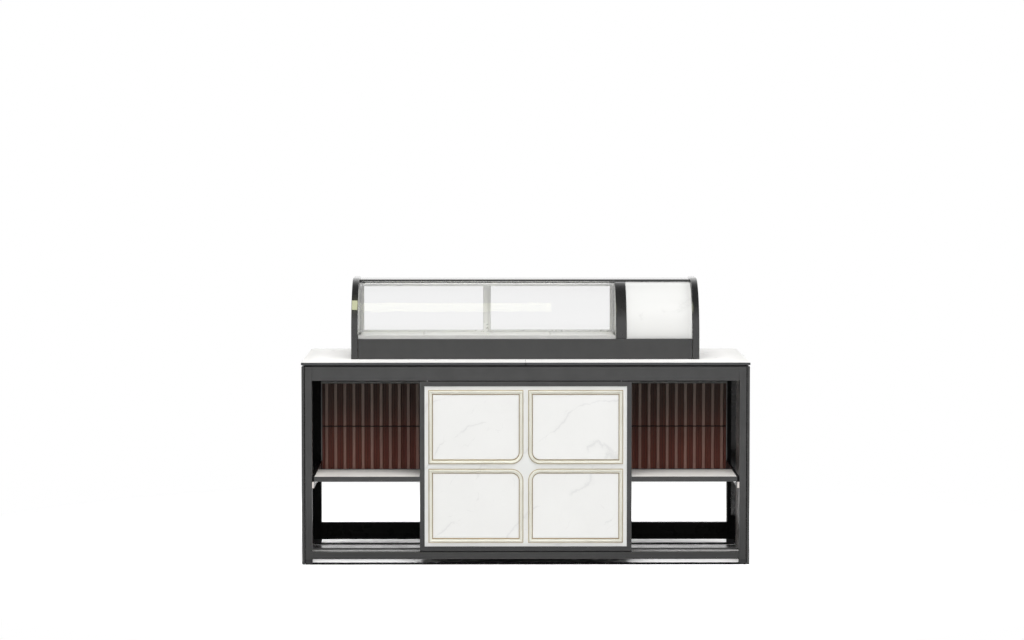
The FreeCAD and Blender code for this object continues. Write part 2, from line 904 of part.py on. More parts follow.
# Sliding doors with finger grooves in the outer stiles
opening = divider_left + case_inner
sliding_width = (opening - 2 * door_side_gap + door_overlap) / 2
sliding_z0 = base_top + track_height + door_lift_gap
sliding_z1 = top_track_under - door_lift_gap


def sliding_door(x0, y, left_stile, right_stile, pull_x):
    x1 = x0 + sliding_width
    half = door_thick / 2
    frame = box(x0, x1, y - half, y + half, sliding_z0, sliding_z1)
    window = box(
        x0 + left_stile,
        x1 - right_stile,
        y - half,
        y + half,
        sliding_z0 + door_rail,
        sliding_z1 - door_rail,
    )
    pane = box(
        x0 + left_stile - door_pane_grip,
        x1 - right_stile + door_pane_grip,
        y - door_pane_thick / 2,
        y + door_pane_thick / 2,
        sliding_z0 + door_rail - door_pane_grip,
        sliding_z1 - door_rail + door_pane_grip,
    )
    t = door_tongue / 2
    low_tongue = box(x0, x1, y - t, y + t, sliding_z0 - door_tongue_drop, sliding_z0)
    high_tongue = box(x0, x1, y - t, y + t, sliding_z1, sliding_z1 + door_tongue_rise)
    middle = (sliding_z0 + sliding_z1) / 2
    pull = box(
        pull_x - pull_width / 2,
        pull_x + pull_width / 2,
        y + half - pull_depth,
        y + half,
        middle - pull_height / 2,
        middle + pull_height / 2,
    )
    frame = frame.fuse([low_tongue, high_tongue]).cut([window, pane, pull])
    return frame.removeSplitter(), pane


left_door_x = -case_inner + door_side_gap
right_door_x = divider_left - door_side_gap - sliding_width
left_pull_x = left_door_x + door_outer_stile / 2
right_pull_x = right_door_x + sliding_width - door_outer_stile / 2
left_stiles = (door_outer_stile, door_meeting_stile)
right_stiles = (door_meeting_stile, door_outer_stile)
left_frame, left_pane = sliding_door(left_door_x, first_door_y, *left_stiles, left_pull_x)
right_frame, right_pane = sliding_door(right_door_x, second_door_y, *right_stiles, right_pull_x)

# Rear grille with slots, control openings and the power inlet opening
control_x0 = divider_right + slot_margin
control_x1 = control_x0 + control_width
control_mid = (control_x0 + control_x1) / 2
control_z1 = roof_under - control_drop
control_z0 = control_z1 - control_height
knob_z = control_z1 - knob_drop
rocker_z = control_z1 - rocker_drop
grille = box(divider_right, case_inner, grille_front, grille_rear, base_top, roof_under)
slot_x0 = control_x1 + slot_margin
slot_x1 = case_inner - slot_margin
slot_run = (slot_count - 1) * slot_pitch + slot_height
slot_z0 = (base_top + roof_under - slot_run) / 2
grille_cuts = []
for k in range(slot_count):
    z = slot_z0 + k * slot_pitch
    grille_cuts.append(box(slot_x0, slot_x1, grille_front, grille_rear, z, z + slot_height))
shaft_axis = [vec(control_mid, grille_front - shaft_depth, knob_z), vec(control_mid, grille_rear, knob_z)]
shaft_bore = rod(shaft_radius + shaft_play, shaft_axis[0], shaft_axis[1])
grille_cuts.append(shaft_bore)
rocker_room_half = rocker_height / 2 + rocker_swing_room
rocker_room_x = rocker_width / 2 + rocker_play
rocker_y = grille_front - rocker_height / 3
rocker_room = box(
    control_mid - rocker_room_x,
    control_mid + rocker_room_x,
    rocker_y - rocker_room_half,
    grille_rear,
    rocker_z - rocker_room_half,
    rocker_z + rocker_room_half,
)
grille_cuts.append(rocker_room)
inlet_z0 = base_top + slot_margin
inlet_box = box(
    control_mid - inlet_width / 2 + inlet_flange,
    control_mid + inlet_width / 2 - inlet_flange,
    grille_rear - inlet_depth,
    grille_rear,
    inlet_z0 + inlet_flange,
    inlet_z0 + inlet_height - inlet_flange,
)
grille_cuts.append(inlet_box)
grille = grille.cut(grille_cuts)

# Power inlet: flange outside the grille, body inside, pocket with three pins
inlet_plate = box(
    control_mid - inlet_width / 2,
    control_mid + inlet_width / 2,
    grille_rear,
    grille_rear + 2,
    inlet_z0,
    inlet_z0 + inlet_height,
)
inlet = inlet_box.fuse(inlet_plate)
inlet_pocket = box(
    control_mid - inlet_width / 2 + 2 * inlet_flange,
    control_mid + inlet_width / 2 - 2 * inlet_flange,
    grille_rear + 2 - inlet_pocket_depth,
    grille_rear + 2,
    inlet_z0 + 1.5 * inlet_flange,
    inlet_z0 + inlet_height - 1.5 * inlet_flange,
)
inlet = inlet.cut(inlet_pocket)
contacts = []
for k in (-1, 0, 1):
    x = control_mid + k * inlet_width / 5
    z = inlet_z0 + inlet_height / 2
    y = grille_rear + 2 - inlet_pocket_depth
    contacts.append(box(x - 1, x + 1, y, y + inlet_contact, z - 2.5, z + 2.5))
inlet = inlet.fuse(contacts).removeSplitter()

# Control box: bore for the thermostat shaft, pocket and bearings for the rocker
control_box = box(control_x0, control_x1, grille_front - control_depth, grille_front, control_z0, control_z1)
trunnion_ends = [
    vec(control_mid - rocker_width / 2 - trunnion_reach, rocker_y, rocker_z),
    vec(control_mid + rocker_width / 2 + trunnion_reach, rocker_y, rocker_z),
]
bearing = rod(trunnion_radius + shaft_play, trunnion_ends[0], trunnion_ends[1])
control_box = control_box.cut([shaft_bore, rocker_room, bearing])

# Thermostat knob with a grip bar, on its shaft
knob_y0 = grille_rear + knob_gap
knob_y1 = knob_y0 + knob_depth
knob = rod(knob_radius, vec(control_mid, knob_y0, knob_z), vec(control_mid, knob_y0 + knob_depth / 2, knob_z))
grip = box(
    control_mid - knob_grip_width / 2,
    control_mid + knob_grip_width / 2,
    knob_y0,
    knob_y1,
    knob_z - knob_radius + knob_grip_inset,
    knob_z + knob_radius - knob_grip_inset,
)
shaft_tip_y = grille_front - shaft_depth + shaft_end_play
shaft = rod(shaft_radius, vec(control_mid, shaft_tip_y, knob_z), vec(control_mid, knob_y0, knob_z))
knob = knob.fuse([grip, shaft]).removeSplitter()

# Rocker: two facets over a trunnion, made level and then tipped to its rest position
half = rocker_height / 2
crest_y = grille_rear + rocker_rise
rocker_outline = [
    (rocker_y - half * 0.6, rocker_z - half * 0.5),
    (rocker_y - half * 0.6, rocker_z + half * 0.5),
    (rocker_y, rocker_z + half),
    (crest_y, rocker_z + half),
    (crest_y - half * math.tan(math.radians(rocker_tilt)), rocker_z),
    (crest_y, rocker_z - half),
    (rocker_y, rocker_z - half),
]
rocker = prism_x(rocker_outline, control_mid - rocker_width / 2, control_mid + rocker_width / 2)
rocker = rocker.fuse(rod(trunnion_radius, trunnion_ends[0], trunnion_ends[1])).removeSplitter()
rocker.rotate(vec(control_mid, rocker_y, rocker_z), vec(1, 0, 0), rocker_tilt)

# Refrigeration: condenser behind the grille, then fan, motor and compressor
condenser_y1 = grille_front - condenser_gap
condenser_y0 = condenser_y1 - condenser_depth
condenser_z1 = base_top + condenser_height
fin_pitch = (slot_x1 - slot_x0) / condenser_fins
fins = []
for k in range(condenser_fins + 1):
    x = slot_x0 + k * fin_pitch - condenser_fin_thick / 2
    fins.append(box(x, x + condenser_fin_thick, condenser_y0, condenser_y1, base_top, condenser_z1))
tube_z_step = condenser_height / condenser_tubes
condenser_pipes = []
for k in range(condenser_tubes):
    z = base_top + (k + 0.5) * tube_z_step
    y = (condenser_y0 + condenser_y1) / 2
    condenser_pipes.append(rod(condenser_tube_radius, vec(slot_x0 - 4, y, z), vec(slot_x1 + 4, y, z)))
condenser = fins[0].multiFuse(fins[1:] + condenser_pipes).removeSplitter()
fan_x = (slot_x0 + slot_x1) / 2
fan_z = base_top + condenser_height / 2
fan_y1 = condenser_y0 - fan_gap
fan_y0 = fan_y1 - fan_blade_width
fan_parts = []
for k in range(fan_blades):
    blade = box(fan_hub_radius - 4, fan_radius, -1, 1, -fan_blade_width, fan_blade_width)
    blade.rotate(vec(0, 0, 0), vec(1, 0, 0), 58)
    blade.rotate(vec(0, 0, 0), vec(0, 1, 0), 360.0 * k / fan_blades)
    blade.translate(vec(fan_x, (fan_y0 + fan_y1) / 2, fan_z))
    fan_parts.append(blade)
disc = rod(fan_radius, vec(fan_x, fan_y0, fan_z), vec(fan_x, fan_y1, fan_z))
hub = rod(fan_hub_radius, vec(fan_x, fan_y0, fan_z), vec(fan_x, fan_y1, fan_z))
motor_y1 = fan_y0 - motor_gap
motor_y0 = motor_y1 - motor_depth
fan_shaft = rod(shaft_radius, vec(fan_x, motor_y1 - shaft_depth, fan_z), vec(fan_x, fan_y0, fan_z))
fan = hub.multiFuse(fan_parts).common(disc).fuse(fan_shaft).removeSplitter()
motor = rod(motor_radius, vec(fan_x, motor_y0, fan_z), vec(fan_x, motor_y1, fan_z))
motor_stand = box(
    fan_x - motor_bracket / 2,
    fan_x + motor_bracket / 2,
    motor_y0 + motor_bracket_inset,
    motor_y1 - motor_bracket_inset,
    base_top,
    fan_z,
)
motor_hole_y = motor_y1 - shaft_depth - shaft_end_play
motor_hole = rod(shaft_radius + shaft_play, vec(fan_x, motor_hole_y, fan_z), vec(fan_x, motor_y1, fan_z))
motor = motor.fuse(motor_stand).cut(motor_hole).removeSplitter()
compressor_x = (divider_right + case_inner) / 2
compressor_y = motor_y0 - compressor_radius - 2 * compressor_foot
compressor = Part.makeCylinder(
    compressor_radius,
    compressor_height,
    vec(compressor_x, compressor_y, base_top + compressor_foot),
)
compressor = compressor.makeFillet(compressor_radius * 0.45, [e for e in compressor.Edges if e.Closed])
foot_half = compressor_radius * 1.05
compressor_base = box(
    compressor_x - foot_half,
    compressor_x + foot_half,
    compressor_y - foot_half * 0.7,
    compressor_y + foot_half * 0.7,
    base_top,
    base_top + compressor_foot,
)
compressor = compressor.fuse(compressor_base).removeSplitter()

# Drain spigot on the rear of the base, and the grille screws
spigot_root = vec(spigot_x, case_rear, spigot_z)
spigot_tip = vec(spigot_x, case_rear + spigot_length, spigot_z)
flange = rod(spigot_flange_radius, spigot_root, vec(spigot_x, case_rear + spigot_flange_thick, spigot_z))
spigot = flange.fuse(rod(spigot_radius, spigot_root, spigot_tip))
spigot = spigot.cut(rod(spigot_bore, spigot_root, spigot_tip)).removeSplitter()
screws = []
for x in (divider_right + screw_margin, case_inner - screw_margin):
    for z in (base_top + screw_margin, (base_top + roof_under) / 2, roof_under - screw_margin):
        screws.append(rod(screw_radius, vec(x, grille_rear, z), vec(x, grille_rear + screw_rise, z)))

# Files
legs = [front_leg, rear_leg, mirrored(front_leg), mirrored(rear_leg)]
feet = [foot(leg_inner, frame_front, front_leg_rear), foot(rear_leg_inner, rear_leg_front, frame_rear)]
side_bars = [side_top_rail, shelf_bar]
save("legs", Part.makeCompound(legs))
save("foot_blocks", Part.makeCompound(feet + [mirrored(f) for f in feet]))
save("floor_runners", Part.makeCompound([front_runner, rear_runner]))
save("side_panels", both_sides(side_panel))
save("front_apron", front_apron)
save("rear_apron", rear_apron)
save("side_rails", Part.makeCompound(side_bars + [mirrored(s) for s in side_bars]))
save("front_bottom_rail", front_rail)
save("rear_bottom_rail", rear_rail)
save("lower_stretcher", stretcher)
save("cable_trunking", Part.makeCompound(trunk_strips))
save("sub_top", sub_top)
save("worktop_boards", both_sides(worktop_board))
save("shelf_trays", both_sides(shelf_tray))
save("shelf_boards", both_sides(shelf_board))
all_pins = bay_pins + cabinet_pins
save("shelf_pins", Part.makeCompound(all_pins + [mirrored(s) for s in all_pins]))
save("fluted_tiles", Part.makeCompound(tiles + [mirrored(s) for s in tiles]))
save("tile_frames", both_sides(tile_frame))
save("tile_backers", both_sides(tile_backer))
save("cabinet_sides", both_sides(cabinet_side))
save("cabinet_floor", cabinet_floor)
save("cabinet_inner_shelf", cabinet_shelf)
save("front_panel_frame", panel_frame)
save("front_panel_board", panel_board)
save("panel_mouldings", four_ways(moulding))
save("inset_slabs", four_ways(inset_slab))
save("cabinet_door_right", right_door)
save("cabinet_door_left", mirrored(right_door))
right_handle = bow_handle()
save("cabinet_handle_right", right_handle)
save("cabinet_handle_left", mirrored(right_handle))
save("cabinet_hinges", Part.makeCompound(hinge_group))
save("door_hinge_leaves_right", moving_leaves)
save("door_hinge_leaves_left", mirrored(moving_leaves))
save("case_base_pan", base_pan)
save("case_insulation", insulation)
save("evaporator_coil", coil())
save("cold_deck", deck)
save("food_plates", Part.makeCompound(plates))
save("end_panels", both_sides(right_end_panel))
save("divider_panel", divider)
save("roof_panel", roof)
save("front_glass", front_glass)
save("machine_cover", machine_cover)
save("light_bar", light_bar)
save("door_tracks", Part.makeCompound([bottom_track, top_track]))
save("sliding_door_left_frame", left_frame)
save("sliding_door_left_pane", left_pane)
save("sliding_door_right_frame", right_frame)
save("sliding_door_right_pane", right_pane)
save("rear_grille", grille)
save("grille_screws", Part.makeCompound(screws))
save("control_box", control_box)
save("thermostat_knob", knob)
save("power_switch", rocker)
save("power_inlet", inlet)
save("compressor", compressor)
save("condenser", condenser)
save("fan_motor", motor)
save("fan_blades", fan)
save("drain_spigot", spigot)
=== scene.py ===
import math
import bmesh
import bpy
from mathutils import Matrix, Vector


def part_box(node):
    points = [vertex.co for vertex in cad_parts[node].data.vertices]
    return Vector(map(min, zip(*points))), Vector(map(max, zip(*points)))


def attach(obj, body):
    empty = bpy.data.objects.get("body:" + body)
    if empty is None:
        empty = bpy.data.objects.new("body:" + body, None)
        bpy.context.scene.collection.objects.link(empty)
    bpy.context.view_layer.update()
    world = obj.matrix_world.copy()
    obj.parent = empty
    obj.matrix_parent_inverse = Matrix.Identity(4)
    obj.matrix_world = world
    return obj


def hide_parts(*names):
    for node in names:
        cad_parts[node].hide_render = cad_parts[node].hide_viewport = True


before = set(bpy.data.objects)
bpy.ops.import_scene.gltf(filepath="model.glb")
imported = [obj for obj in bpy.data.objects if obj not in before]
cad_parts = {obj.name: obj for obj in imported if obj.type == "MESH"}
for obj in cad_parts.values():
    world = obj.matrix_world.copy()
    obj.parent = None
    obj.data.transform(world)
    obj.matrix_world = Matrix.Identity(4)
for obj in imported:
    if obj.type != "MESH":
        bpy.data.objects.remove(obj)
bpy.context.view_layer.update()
scene = bpy.context.scene
mm = 0.001
upAxis, rearAxis = (0, 0, 1), (0, 1, 0)  # directions that turned pieces point in
work = {}  # holds the node tree that was begun last, which new nodes go into
print("frame loaded:", len(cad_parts), "CAD nodes")


# small helpers for shader and geometry trees
def feed(node, inputs):
    # links a socket to each named input, or sets a plain value
    for key, value in inputs.items():
        if isinstance(value, bpy.types.NodeSocket):
            work["tree"].links.new(value, node.inputs[key])
        else:
            node.inputs[key].default_value = value


def addNode(kind, inputs=None, **settings):
    node = work["tree"].nodes.new(kind)
    for key, value in settings.items():
        setattr(node, key, value)
    feed(node, inputs or {})
    return node


def shade(kind, inputs=None, **settings):
    return addNode("ShaderNode" + kind, inputs, **settings).outputs


def form(kind, inputs=None, **settings):
    return addNode("GeometryNode" + kind, inputs, **settings).outputs[0]


def formula(operation, a, b=0.0, clamp=False):
    return shade("Math", {0: a, 1: b}, operation=operation, use_clamp=clamp)[0]


def times(a, b, clamp=False):
    return formula("MULTIPLY", a, b, clamp)


def plus(a, b, clamp=False):
    return formula("ADD", a, b, clamp)


def less(a, b):
    return formula("SUBTRACT", a, b)


def away(value, middle=0.0):
    return formula("ABSOLUTE", less(value, middle))


def axes(place):
    return shade("SeparateXYZ", {0: place})


def vector(**parts):
    return shade("CombineXYZ", parts)[0]


def moved(place, offset):
    return shade("VectorMath", {0: place, 1: offset}, operation="ADD")[0]


def mixColour(factor, a, b):
    return shade("Mix", {0: factor, 6: a, 7: b}, data_type="RGBA")[2]


def remap(value, low, high, toLow=0.0, toHigh=1.0):
    inputs = {"Value": value, "From Min": low, "From Max": high, "To Min": toLow, "To Max": toHigh}
    return shade("MapRange", inputs, interpolation_type="SMOOTHSTEP")[0]


def noise(place, scale, detail=2.0, rough=0.5):
    inputs = {"Vector": place, "Scale": scale, "Detail": detail, "Roughness": rough}
    return shade("TexNoise", inputs)[0]


def stored(name):
    return shade("Attribute", attribute_name=name)["Fac"]


def beginTree(name, treeKind, outputs, inputs):
    # outputs and inputs are lists of socket names by kind
    tree = bpy.data.node_groups.new(name, treeKind)
    work["tree"] = tree
    for direction, kinds in (("INPUT", inputs), ("OUTPUT", outputs)):
        for kind, labels in kinds.items():
            for label in labels:
                tree.interface.new_socket(label, in_out=direction, socket_type="NodeSocket" + kind)
    return addNode("NodeGroupInput").outputs


def endGroup(**made):
    addNode("NodeGroupOutput", made)
    return work["tree"]


def useGroup(group, **inputs):
    return shade("Group", inputs, node_tree=group)


def screen(red, green, blue):
    # a colour as a screen shows it, 0 to 255
    parts = [c / 255 for c in (red, green, blue)]
    return [c / 12.92 if c < 0.04045 else ((c + 0.055) / 1.055) ** 2.4 for c in parts] + [1.0]


def grey(level):
    return screen(level, level, level)


def scaled(colour, factor):
    return [c * factor for c in colour[:3]] + [1.0]


def sizes(**lengths):
    # lengths given in millimetres, kept in metres
    return {name: length * mm for name, length in lengths.items()}


# shared surface effects: fine grain, paler edges that are partly wear and partly painted highlight, dust,
# brushed lines and stone veins
def startGroup(name, outputs, **inputs):
    return beginTree(name, "ShaderNodeTree", {"Float": outputs}, inputs)


def buildFineGrain():
    given = startGroup("fineGrain", ["Height", "Tint"], Vector=["Vector"], Float=["Scale"])
    place = given["Vector"]
    broad = noise(place, times(given["Scale"], 0.012), 5.0, 0.6)
    return endGroup(Height=noise(place, given["Scale"]), Tint=remap(broad, 0.3, 0.7))


def buildEdgeWearAndSheen():
    given = startGroup("edgeWearAndSheen", ["Mask"], Vector=["Vector"], Float=["Edge", "Amount"])
    patches = remap(noise(given["Vector"], 60.0, 5.0, 0.65), 0.35, 0.65, 0.25, 1.0)
    return endGroup(Mask=times(times(given["Edge"], patches), given["Amount"], True))


def buildDustFilm():
    given = startGroup("dustFilm", ["Mask"], Vector=["Vector", "Normal"], Float=["Amount"])
    flat = remap(axes(given["Normal"])["Z"], 0.6, 1.0)
    patches = remap(noise(given["Vector"], 14.0, 6.0, 0.7), 0.35, 0.75, 0.3, 1.0)
    return endGroup(Mask=times(times(flat, patches), given["Amount"], True))


def buildBrushedLines():
    given = startGroup("brushedLines", ["Height", "Tint"], Vector=["Vector", "Stretch"], Float=["Scale"])
    place = given["Vector"]
    drawn = shade("VectorMath", {0: place, 1: given["Stretch"]}, operation="MULTIPLY")[0]
    smudge = noise(place, 9.0, 4.0, 0.6)
    return endGroup(Height=noise(drawn, given["Scale"], 3.0, 0.6), Tint=remap(smudge, 0.35, 0.7))


def buildStoneVeins():
    given = startGroup("stoneVeins", ["Vein", "Cloud"], Vector=["Vector"], Float=["Scale", "Width"])
    place = given["Vector"]
    slant = (0.62, -0.3, -0.72)  # direction across the veins
    across = shade("VectorMath", {0: place, 1: slant}, operation="DOT_PRODUCT")["Value"]

    def veins(spacing, sway, shake, width, low):
        run = times(across, times(given["Scale"], spacing))
        run = plus(run, times(noise(place, 2.6 * spacing), sway))
        run = plus(run, times(noise(place, 24.0 * spacing, 4.0, 0.6), shake))
        far = away(formula("FRACT", run), 0.5)
        line = remap(far, 0.0, times(given["Width"], width), 1.0, 0.0)
        return times(line, remap(noise(place, 7.0 * spacing, 3.0), low, low + 0.12))

    haze = times(veins(1.0, 2.2, 0.25, 3.5, 0.5), 0.2)
    main = times(veins(1.0, 2.2, 0.25, 1.0, 0.46), 0.75)
    fine = times(veins(2.3, 3.0, 0.3, 0.8, 0.52), 0.45)
    cloud = remap(noise(place, 5.0, 4.0, 0.55), 0.3, 0.75)
    return endGroup(Vein=plus(plus(haze, main), fine, True), Cloud=cloud)


fineGrain = buildFineGrain()
edgeWearAndSheen = buildEdgeWearAndSheen()
dustFilm = buildDustFilm()
brushedLines = buildBrushedLines()
stoneVeins = buildStoneVeins()


# materials
def startMaterial(name):
    material = bpy.data.materials.new(name)
    material.use_nodes = True
    work["tree"] = material.node_tree
    return material, material.node_tree.nodes["Principled BSDF"], shade("TexCoord")["Object"]


# partly painted highlight: the rounded edges are made paler, as wear and as the bright edge lines that light
# gives
def wornAndHighlit(place, colour, edgeColour, amount):
    mask = useGroup(edgeWearAndSheen, Vector=place, Edge=stored("rub"), Amount=amount)["Mask"]
    return mixColour(mask, colour, edgeColour)


def dusted(place, colour, amount):
    facing = shade("NewGeometry")["Normal"]
    mask = useGroup(dustFilm, Vector=place, Normal=facing, Amount=amount)["Mask"]
    return mixColour(mask, colour, screen(150, 146, 140)), mask


def bumped(shader, height, depth):
    # depth in millimetres
    relief = shade("Bump", {"Height": height, "Distance": depth * mm, "Strength": 1.0})[0]
    feed(shader, {"Normal": relief})


def coated(name, colour, rough=0.4, grain=1100.0, bump=0.02, cloud=0.05, rub=0.2,
           dust=0.0, specular=0.25, coat=0.0, grime=0.0):
    # paint, laminate or moulded plastic: fine texture, slight colour drift, paler edges that are partly wear
    # and partly painted highlight
    material, shader, place = startMaterial(name)
    texture = useGroup(fineGrain, Vector=place, Scale=grain)
    base = mixColour(texture["Tint"], scaled(colour, 1 - cloud), scaled(colour, 1 + cloud))
    base = wornAndHighlit(place, base, scaled(colour, 2.6), rub)
    if grime:
        # painted shade: the paint is darker near the floor
        floorShadeMask = remap(axes(place)["Z"], 0.03, 0.4, grime, 0.0)
        base = mixColour(floorShadeMask, base, scaled(colour, 0.3))
    roughness = remap(texture["Tint"], 0.0, 1.0, rough - 0.06, rough + 0.06)
    if dust:
        base, film = dusted(place, base, dust)
        roughness = plus(roughness, times(film, 0.5), True)
    feed(shader, {"Base Color": base, "Roughness": roughness, "Specular IOR Level": specular})
    if coat:
        feed(shader, {"Coat Weight": coat, "Coat Roughness": 0.03, "Coat IOR": 1.6})
    bumped(shader, texture["Height"], bump)
    return material


def grainedBoard(name, dark, light, rough, stretch, scale, specular, dust=0.06):
    # laminate with a printed grain that runs one way
    material, shader, place = startMaterial(name)
    lines = useGroup(brushedLines, Vector=place, Scale=scale, Stretch=stretch)
    figure = remap(lines["Height"], 0.3, 0.7)
    base = wornAndHighlit(place, mixColour(figure, dark, light), light, 0.35)
    feed(shader, {"Base Color": dusted(place, base, dust)[0], "Specular IOR Level": specular,
                  "Roughness": remap(figure, 0.0, 1.0, rough, rough + 0.12)})
    bumped(shader, lines["Height"], 0.03)
    return material


def sideLaminatePaintedLight(innerFace, front, rear):
    # dark laminate; between the legs the inner face is painted pale, a painted reflection of the bright
    # backdrop seen there at a grazing angle
    fade = sizes(sheet=0.2, sheetEnd=0.4, side=1.0)
    upright = (0.5, 1.0, 0.03)
    material = grainedBoard("sideBoard", grey(60), grey(70), rough=0.16, stretch=upright,
                            scale=500.0, specular=0.25)
    shader = material.node_tree.nodes["Principled BSDF"]
    place = shade("TexCoord")["Object"]
    parts = axes(place)
    # painted reflection: these masks place the pale sheet on the inner face between the legs
    inside = remap(away(parts["X"]), innerFace + fade["sheet"], innerFace + fade["sheetEnd"], 1.0, 0.0)
    behind = remap(parts["Y"], front, front + fade["side"])
    ahead = remap(parts["Y"], rear - fade["side"], rear, 1.0, 0.0)
    sheet = times(inside, times(behind, ahead))
    pale = mixColour(noise(place, 18.0, 4.0), screen(206, 199, 194), screen(218, 212, 207))
    dark = shader.inputs["Base Color"].links[0].from_socket
    feed(shader, {"Base Color": mixColour(sheet, dark, pale)})
    return material


def brushedMetal(name, colour, rough, stretch, scale=900.0, drift=0.08, bump=0.012, metallic=1.0):
    material, shader, place = startMaterial(name)
    lines = useGroup(brushedLines, Vector=place, Scale=scale, Stretch=stretch)
    base = mixColour(lines["Height"], scaled(colour, 1 - drift), scaled(colour, 1 + drift))
    base = mixColour(times(lines["Tint"], 0.15), base, scaled(colour, 0.75))
    roughness = remap(lines["Height"], 0.2, 0.8, rough - 0.07, rough + 0.07)
    feed(shader, {"Base Color": wornAndHighlit(place, base, scaled(colour, 1.15), 0.5), "Metallic": metallic,
                  "Roughness": plus(roughness, times(lines["Tint"], 0.06))})
    bumped(shader, lines["Height"], bump)
    return material


def veinedStone(name, ground, veinColour, veinScale, veinWidth, rough, shift, specular=0.4):
    material, shader, place = startMaterial(name)
    shifted = shade("Mapping", {"Vector": place, "Location": shift})[0]
    stone = useGroup(stoneVeins, Vector=shifted, Scale=veinScale, Width=veinWidth)
    base = mixColour(stone["Cloud"], scaled(ground, 0.98), ground)
    base = mixColour(times(stone["Vein"], 0.85), base, veinColour)
    base = wornAndHighlit(place, base, scaled(ground, 1.03), 0.6)
    feed(shader, {"Base Color": base, "Specular IOR Level": specular,
                  "Roughness": remap(stone["Vein"], 0.0, 1.0, rough, rough + 0.12)})
    bumped(shader, useGroup(fineGrain, Vector=place, Scale=500.0)["Height"], 0.004)
    return material, shader, place, base


def worktopStone(high):
    # white top sheet, a little greyer towards the rim, with the core and its edges dark below it
    edge = sizes(sheet=0.5, sheetFull=0.35, rim=90.0, sealer=2.4, sealerEnd=3.0)
    material, shader, place, base = veinedStone("worktopStone", screen(246, 245, 243),
                                                screen(220, 219, 216), veinScale=3.2, veinWidth=0.02,
                                                rough=0.55, shift=(0.4, 0.2, 0.0), specular=0.12)
    parts = axes(place)
    sheet = remap(parts["Z"], high.z - edge["sheet"], high.z - edge["sheetFull"])
    speckle = remap(noise(place, 700.0), 0.62, 0.72)
    base = mixColour(times(speckle, 0.12), base, screen(190, 188, 184))
    endRim = less(high.x, away(parts["X"]))
    longRim = less(high.y, away(parts["Y"]))
    rim = remap(formula("MINIMUM", endRim, longRim), 0.0, edge["rim"], 0.75, 0.0)
    base = mixColour(rim, base, screen(224, 224, 221))
    core = mixColour(noise(place, 420.0, 3.0), screen(60, 61, 62), screen(84, 85, 86))
    joint = remap(away(parts["X"]), edge["sealer"], edge["sealerEnd"], 1.0, 0.0)
    core = mixColour(joint, core, grey(14))  # sealer at the joint in the edge
    feed(shader, {"Base Color": mixColour(sheet, core, base)})
    return material


def mouldingPaint():
    # cream paint between two fine gold beads, their dark gold partly painted shade along the moulding's
    # edges; the sweep stores how far across the moulding a point is
    bead = sizes(outerFull=2.95, outerEnd=3.15, innerStart=16.75, innerFull=16.95)
    material, shader, place = startMaterial("mouldingPaint")
    across = stored("across")
    outer = remap(across, bead["outerFull"], bead["outerEnd"], 1.0, 0.0)
    # partly painted shade: the darker gold lines along both edges of the moulding
    giltAndShade = formula("MAXIMUM", outer, remap(across, bead["innerStart"], bead["innerFull"]))
    drift = useGroup(fineGrain, Vector=place, Scale=700.0)
    cream = mixColour(drift["Tint"], screen(219, 217, 204), screen(228, 227, 216))
    gold = mixColour(noise(place, 160.0, 4.0, 0.6), screen(120, 100, 68), screen(160, 138, 100))
    paleGold = mixColour(drift["Tint"], screen(158, 142, 112), screen(186, 170, 140))
    gold = mixColour(outer, gold, paleGold)
    feed(shader, {"Base Color": mixColour(giltAndShade, cream, gold), "Metallic": times(giltAndShade, 0.55),
                  "Roughness": remap(giltAndShade, 0.0, 1.0, 0.4, 0.33)})
    bumped(shader, drift["Height"], 0.012)
    return material


def tileGlaze(ridgeFront, rise, jointHeight):
    # dark brown glaze, paler on the ridges: partly the glaze breaking thin there, partly painted highlight on
    # the ridges that face the light
    thinness = sizes(ridge=0.4, pool=2.0, poolEnd=3.4)
    material, shader, place = startMaterial("tileGlaze")
    parts = axes(place)
    # partly painted highlight: paler towards the front of the ridges
    ridge = remap(parts["Y"], ridgeFront + thinness["ridge"], ridgeFront + 0.55 * rise, 1.0, 0.0)
    pooled = noise(place, 12.0)
    deep = mixColour(pooled, screen(137, 82, 70), screen(148, 90, 76))
    thinAndLit = mixColour(pooled, screen(189, 144, 131), screen(198, 153, 140))
    base = mixColour(ridge, deep, thinAndLit)
    base = mixColour(times(stored("tone"), 0.12), base, screen(70, 38, 31))
    topShade = remap(parts["Z"], 0.38, 0.78, 0.0, 0.8)  # painted shade: the glaze is greyer and darker towards the top, where the worktop shades it
    base = mixColour(topShade, base, mixColour(ridge, screen(102, 94, 85), screen(180, 169, 159)))
    far = away(parts["Z"], jointHeight)
    pool = remap(far, thinness["pool"], thinness["poolEnd"], 0.9, 0.0)  # glaze pools at the joint
    feed(shader, {"Base Color": mixColour(pool, base, screen(30, 12, 9)), "Specular IOR Level": 0.35,
                  "Roughness": remap(pooled, 0.3, 0.7, 0.4, 0.46)})
    bumped(shader, noise(place, 160.0), 0.01)
    return material


def clearGlass(name, tint, mirror):
    material, shader, place = startMaterial(name)
    smear = remap(noise(place, 7.0, 5.0, 0.65), 0.55, 0.8)
    base = mixColour(smear, tint, scaled(tint, 0.985))
    ray = shade("LightPath")
    soft = formula("MAXIMUM", ray["Is Shadow Ray"], ray["Is Diffuse Ray"])
    feed(shader, {"Base Color": wornAndHighlit(place, base, screen(206, 216, 211), 1.0),
                  "Roughness": remap(smear, 0.0, 1.0, 0.0, 0.03), "IOR": 1.45,
                  "Transmission Weight": 1.0, "Specular Tint": (mirror, mirror, mirror, 1.0),
                  "Alpha": remap(soft, 0.0, 1.0, 1.0, 0.07)})  # soft light passes straight through
    return material


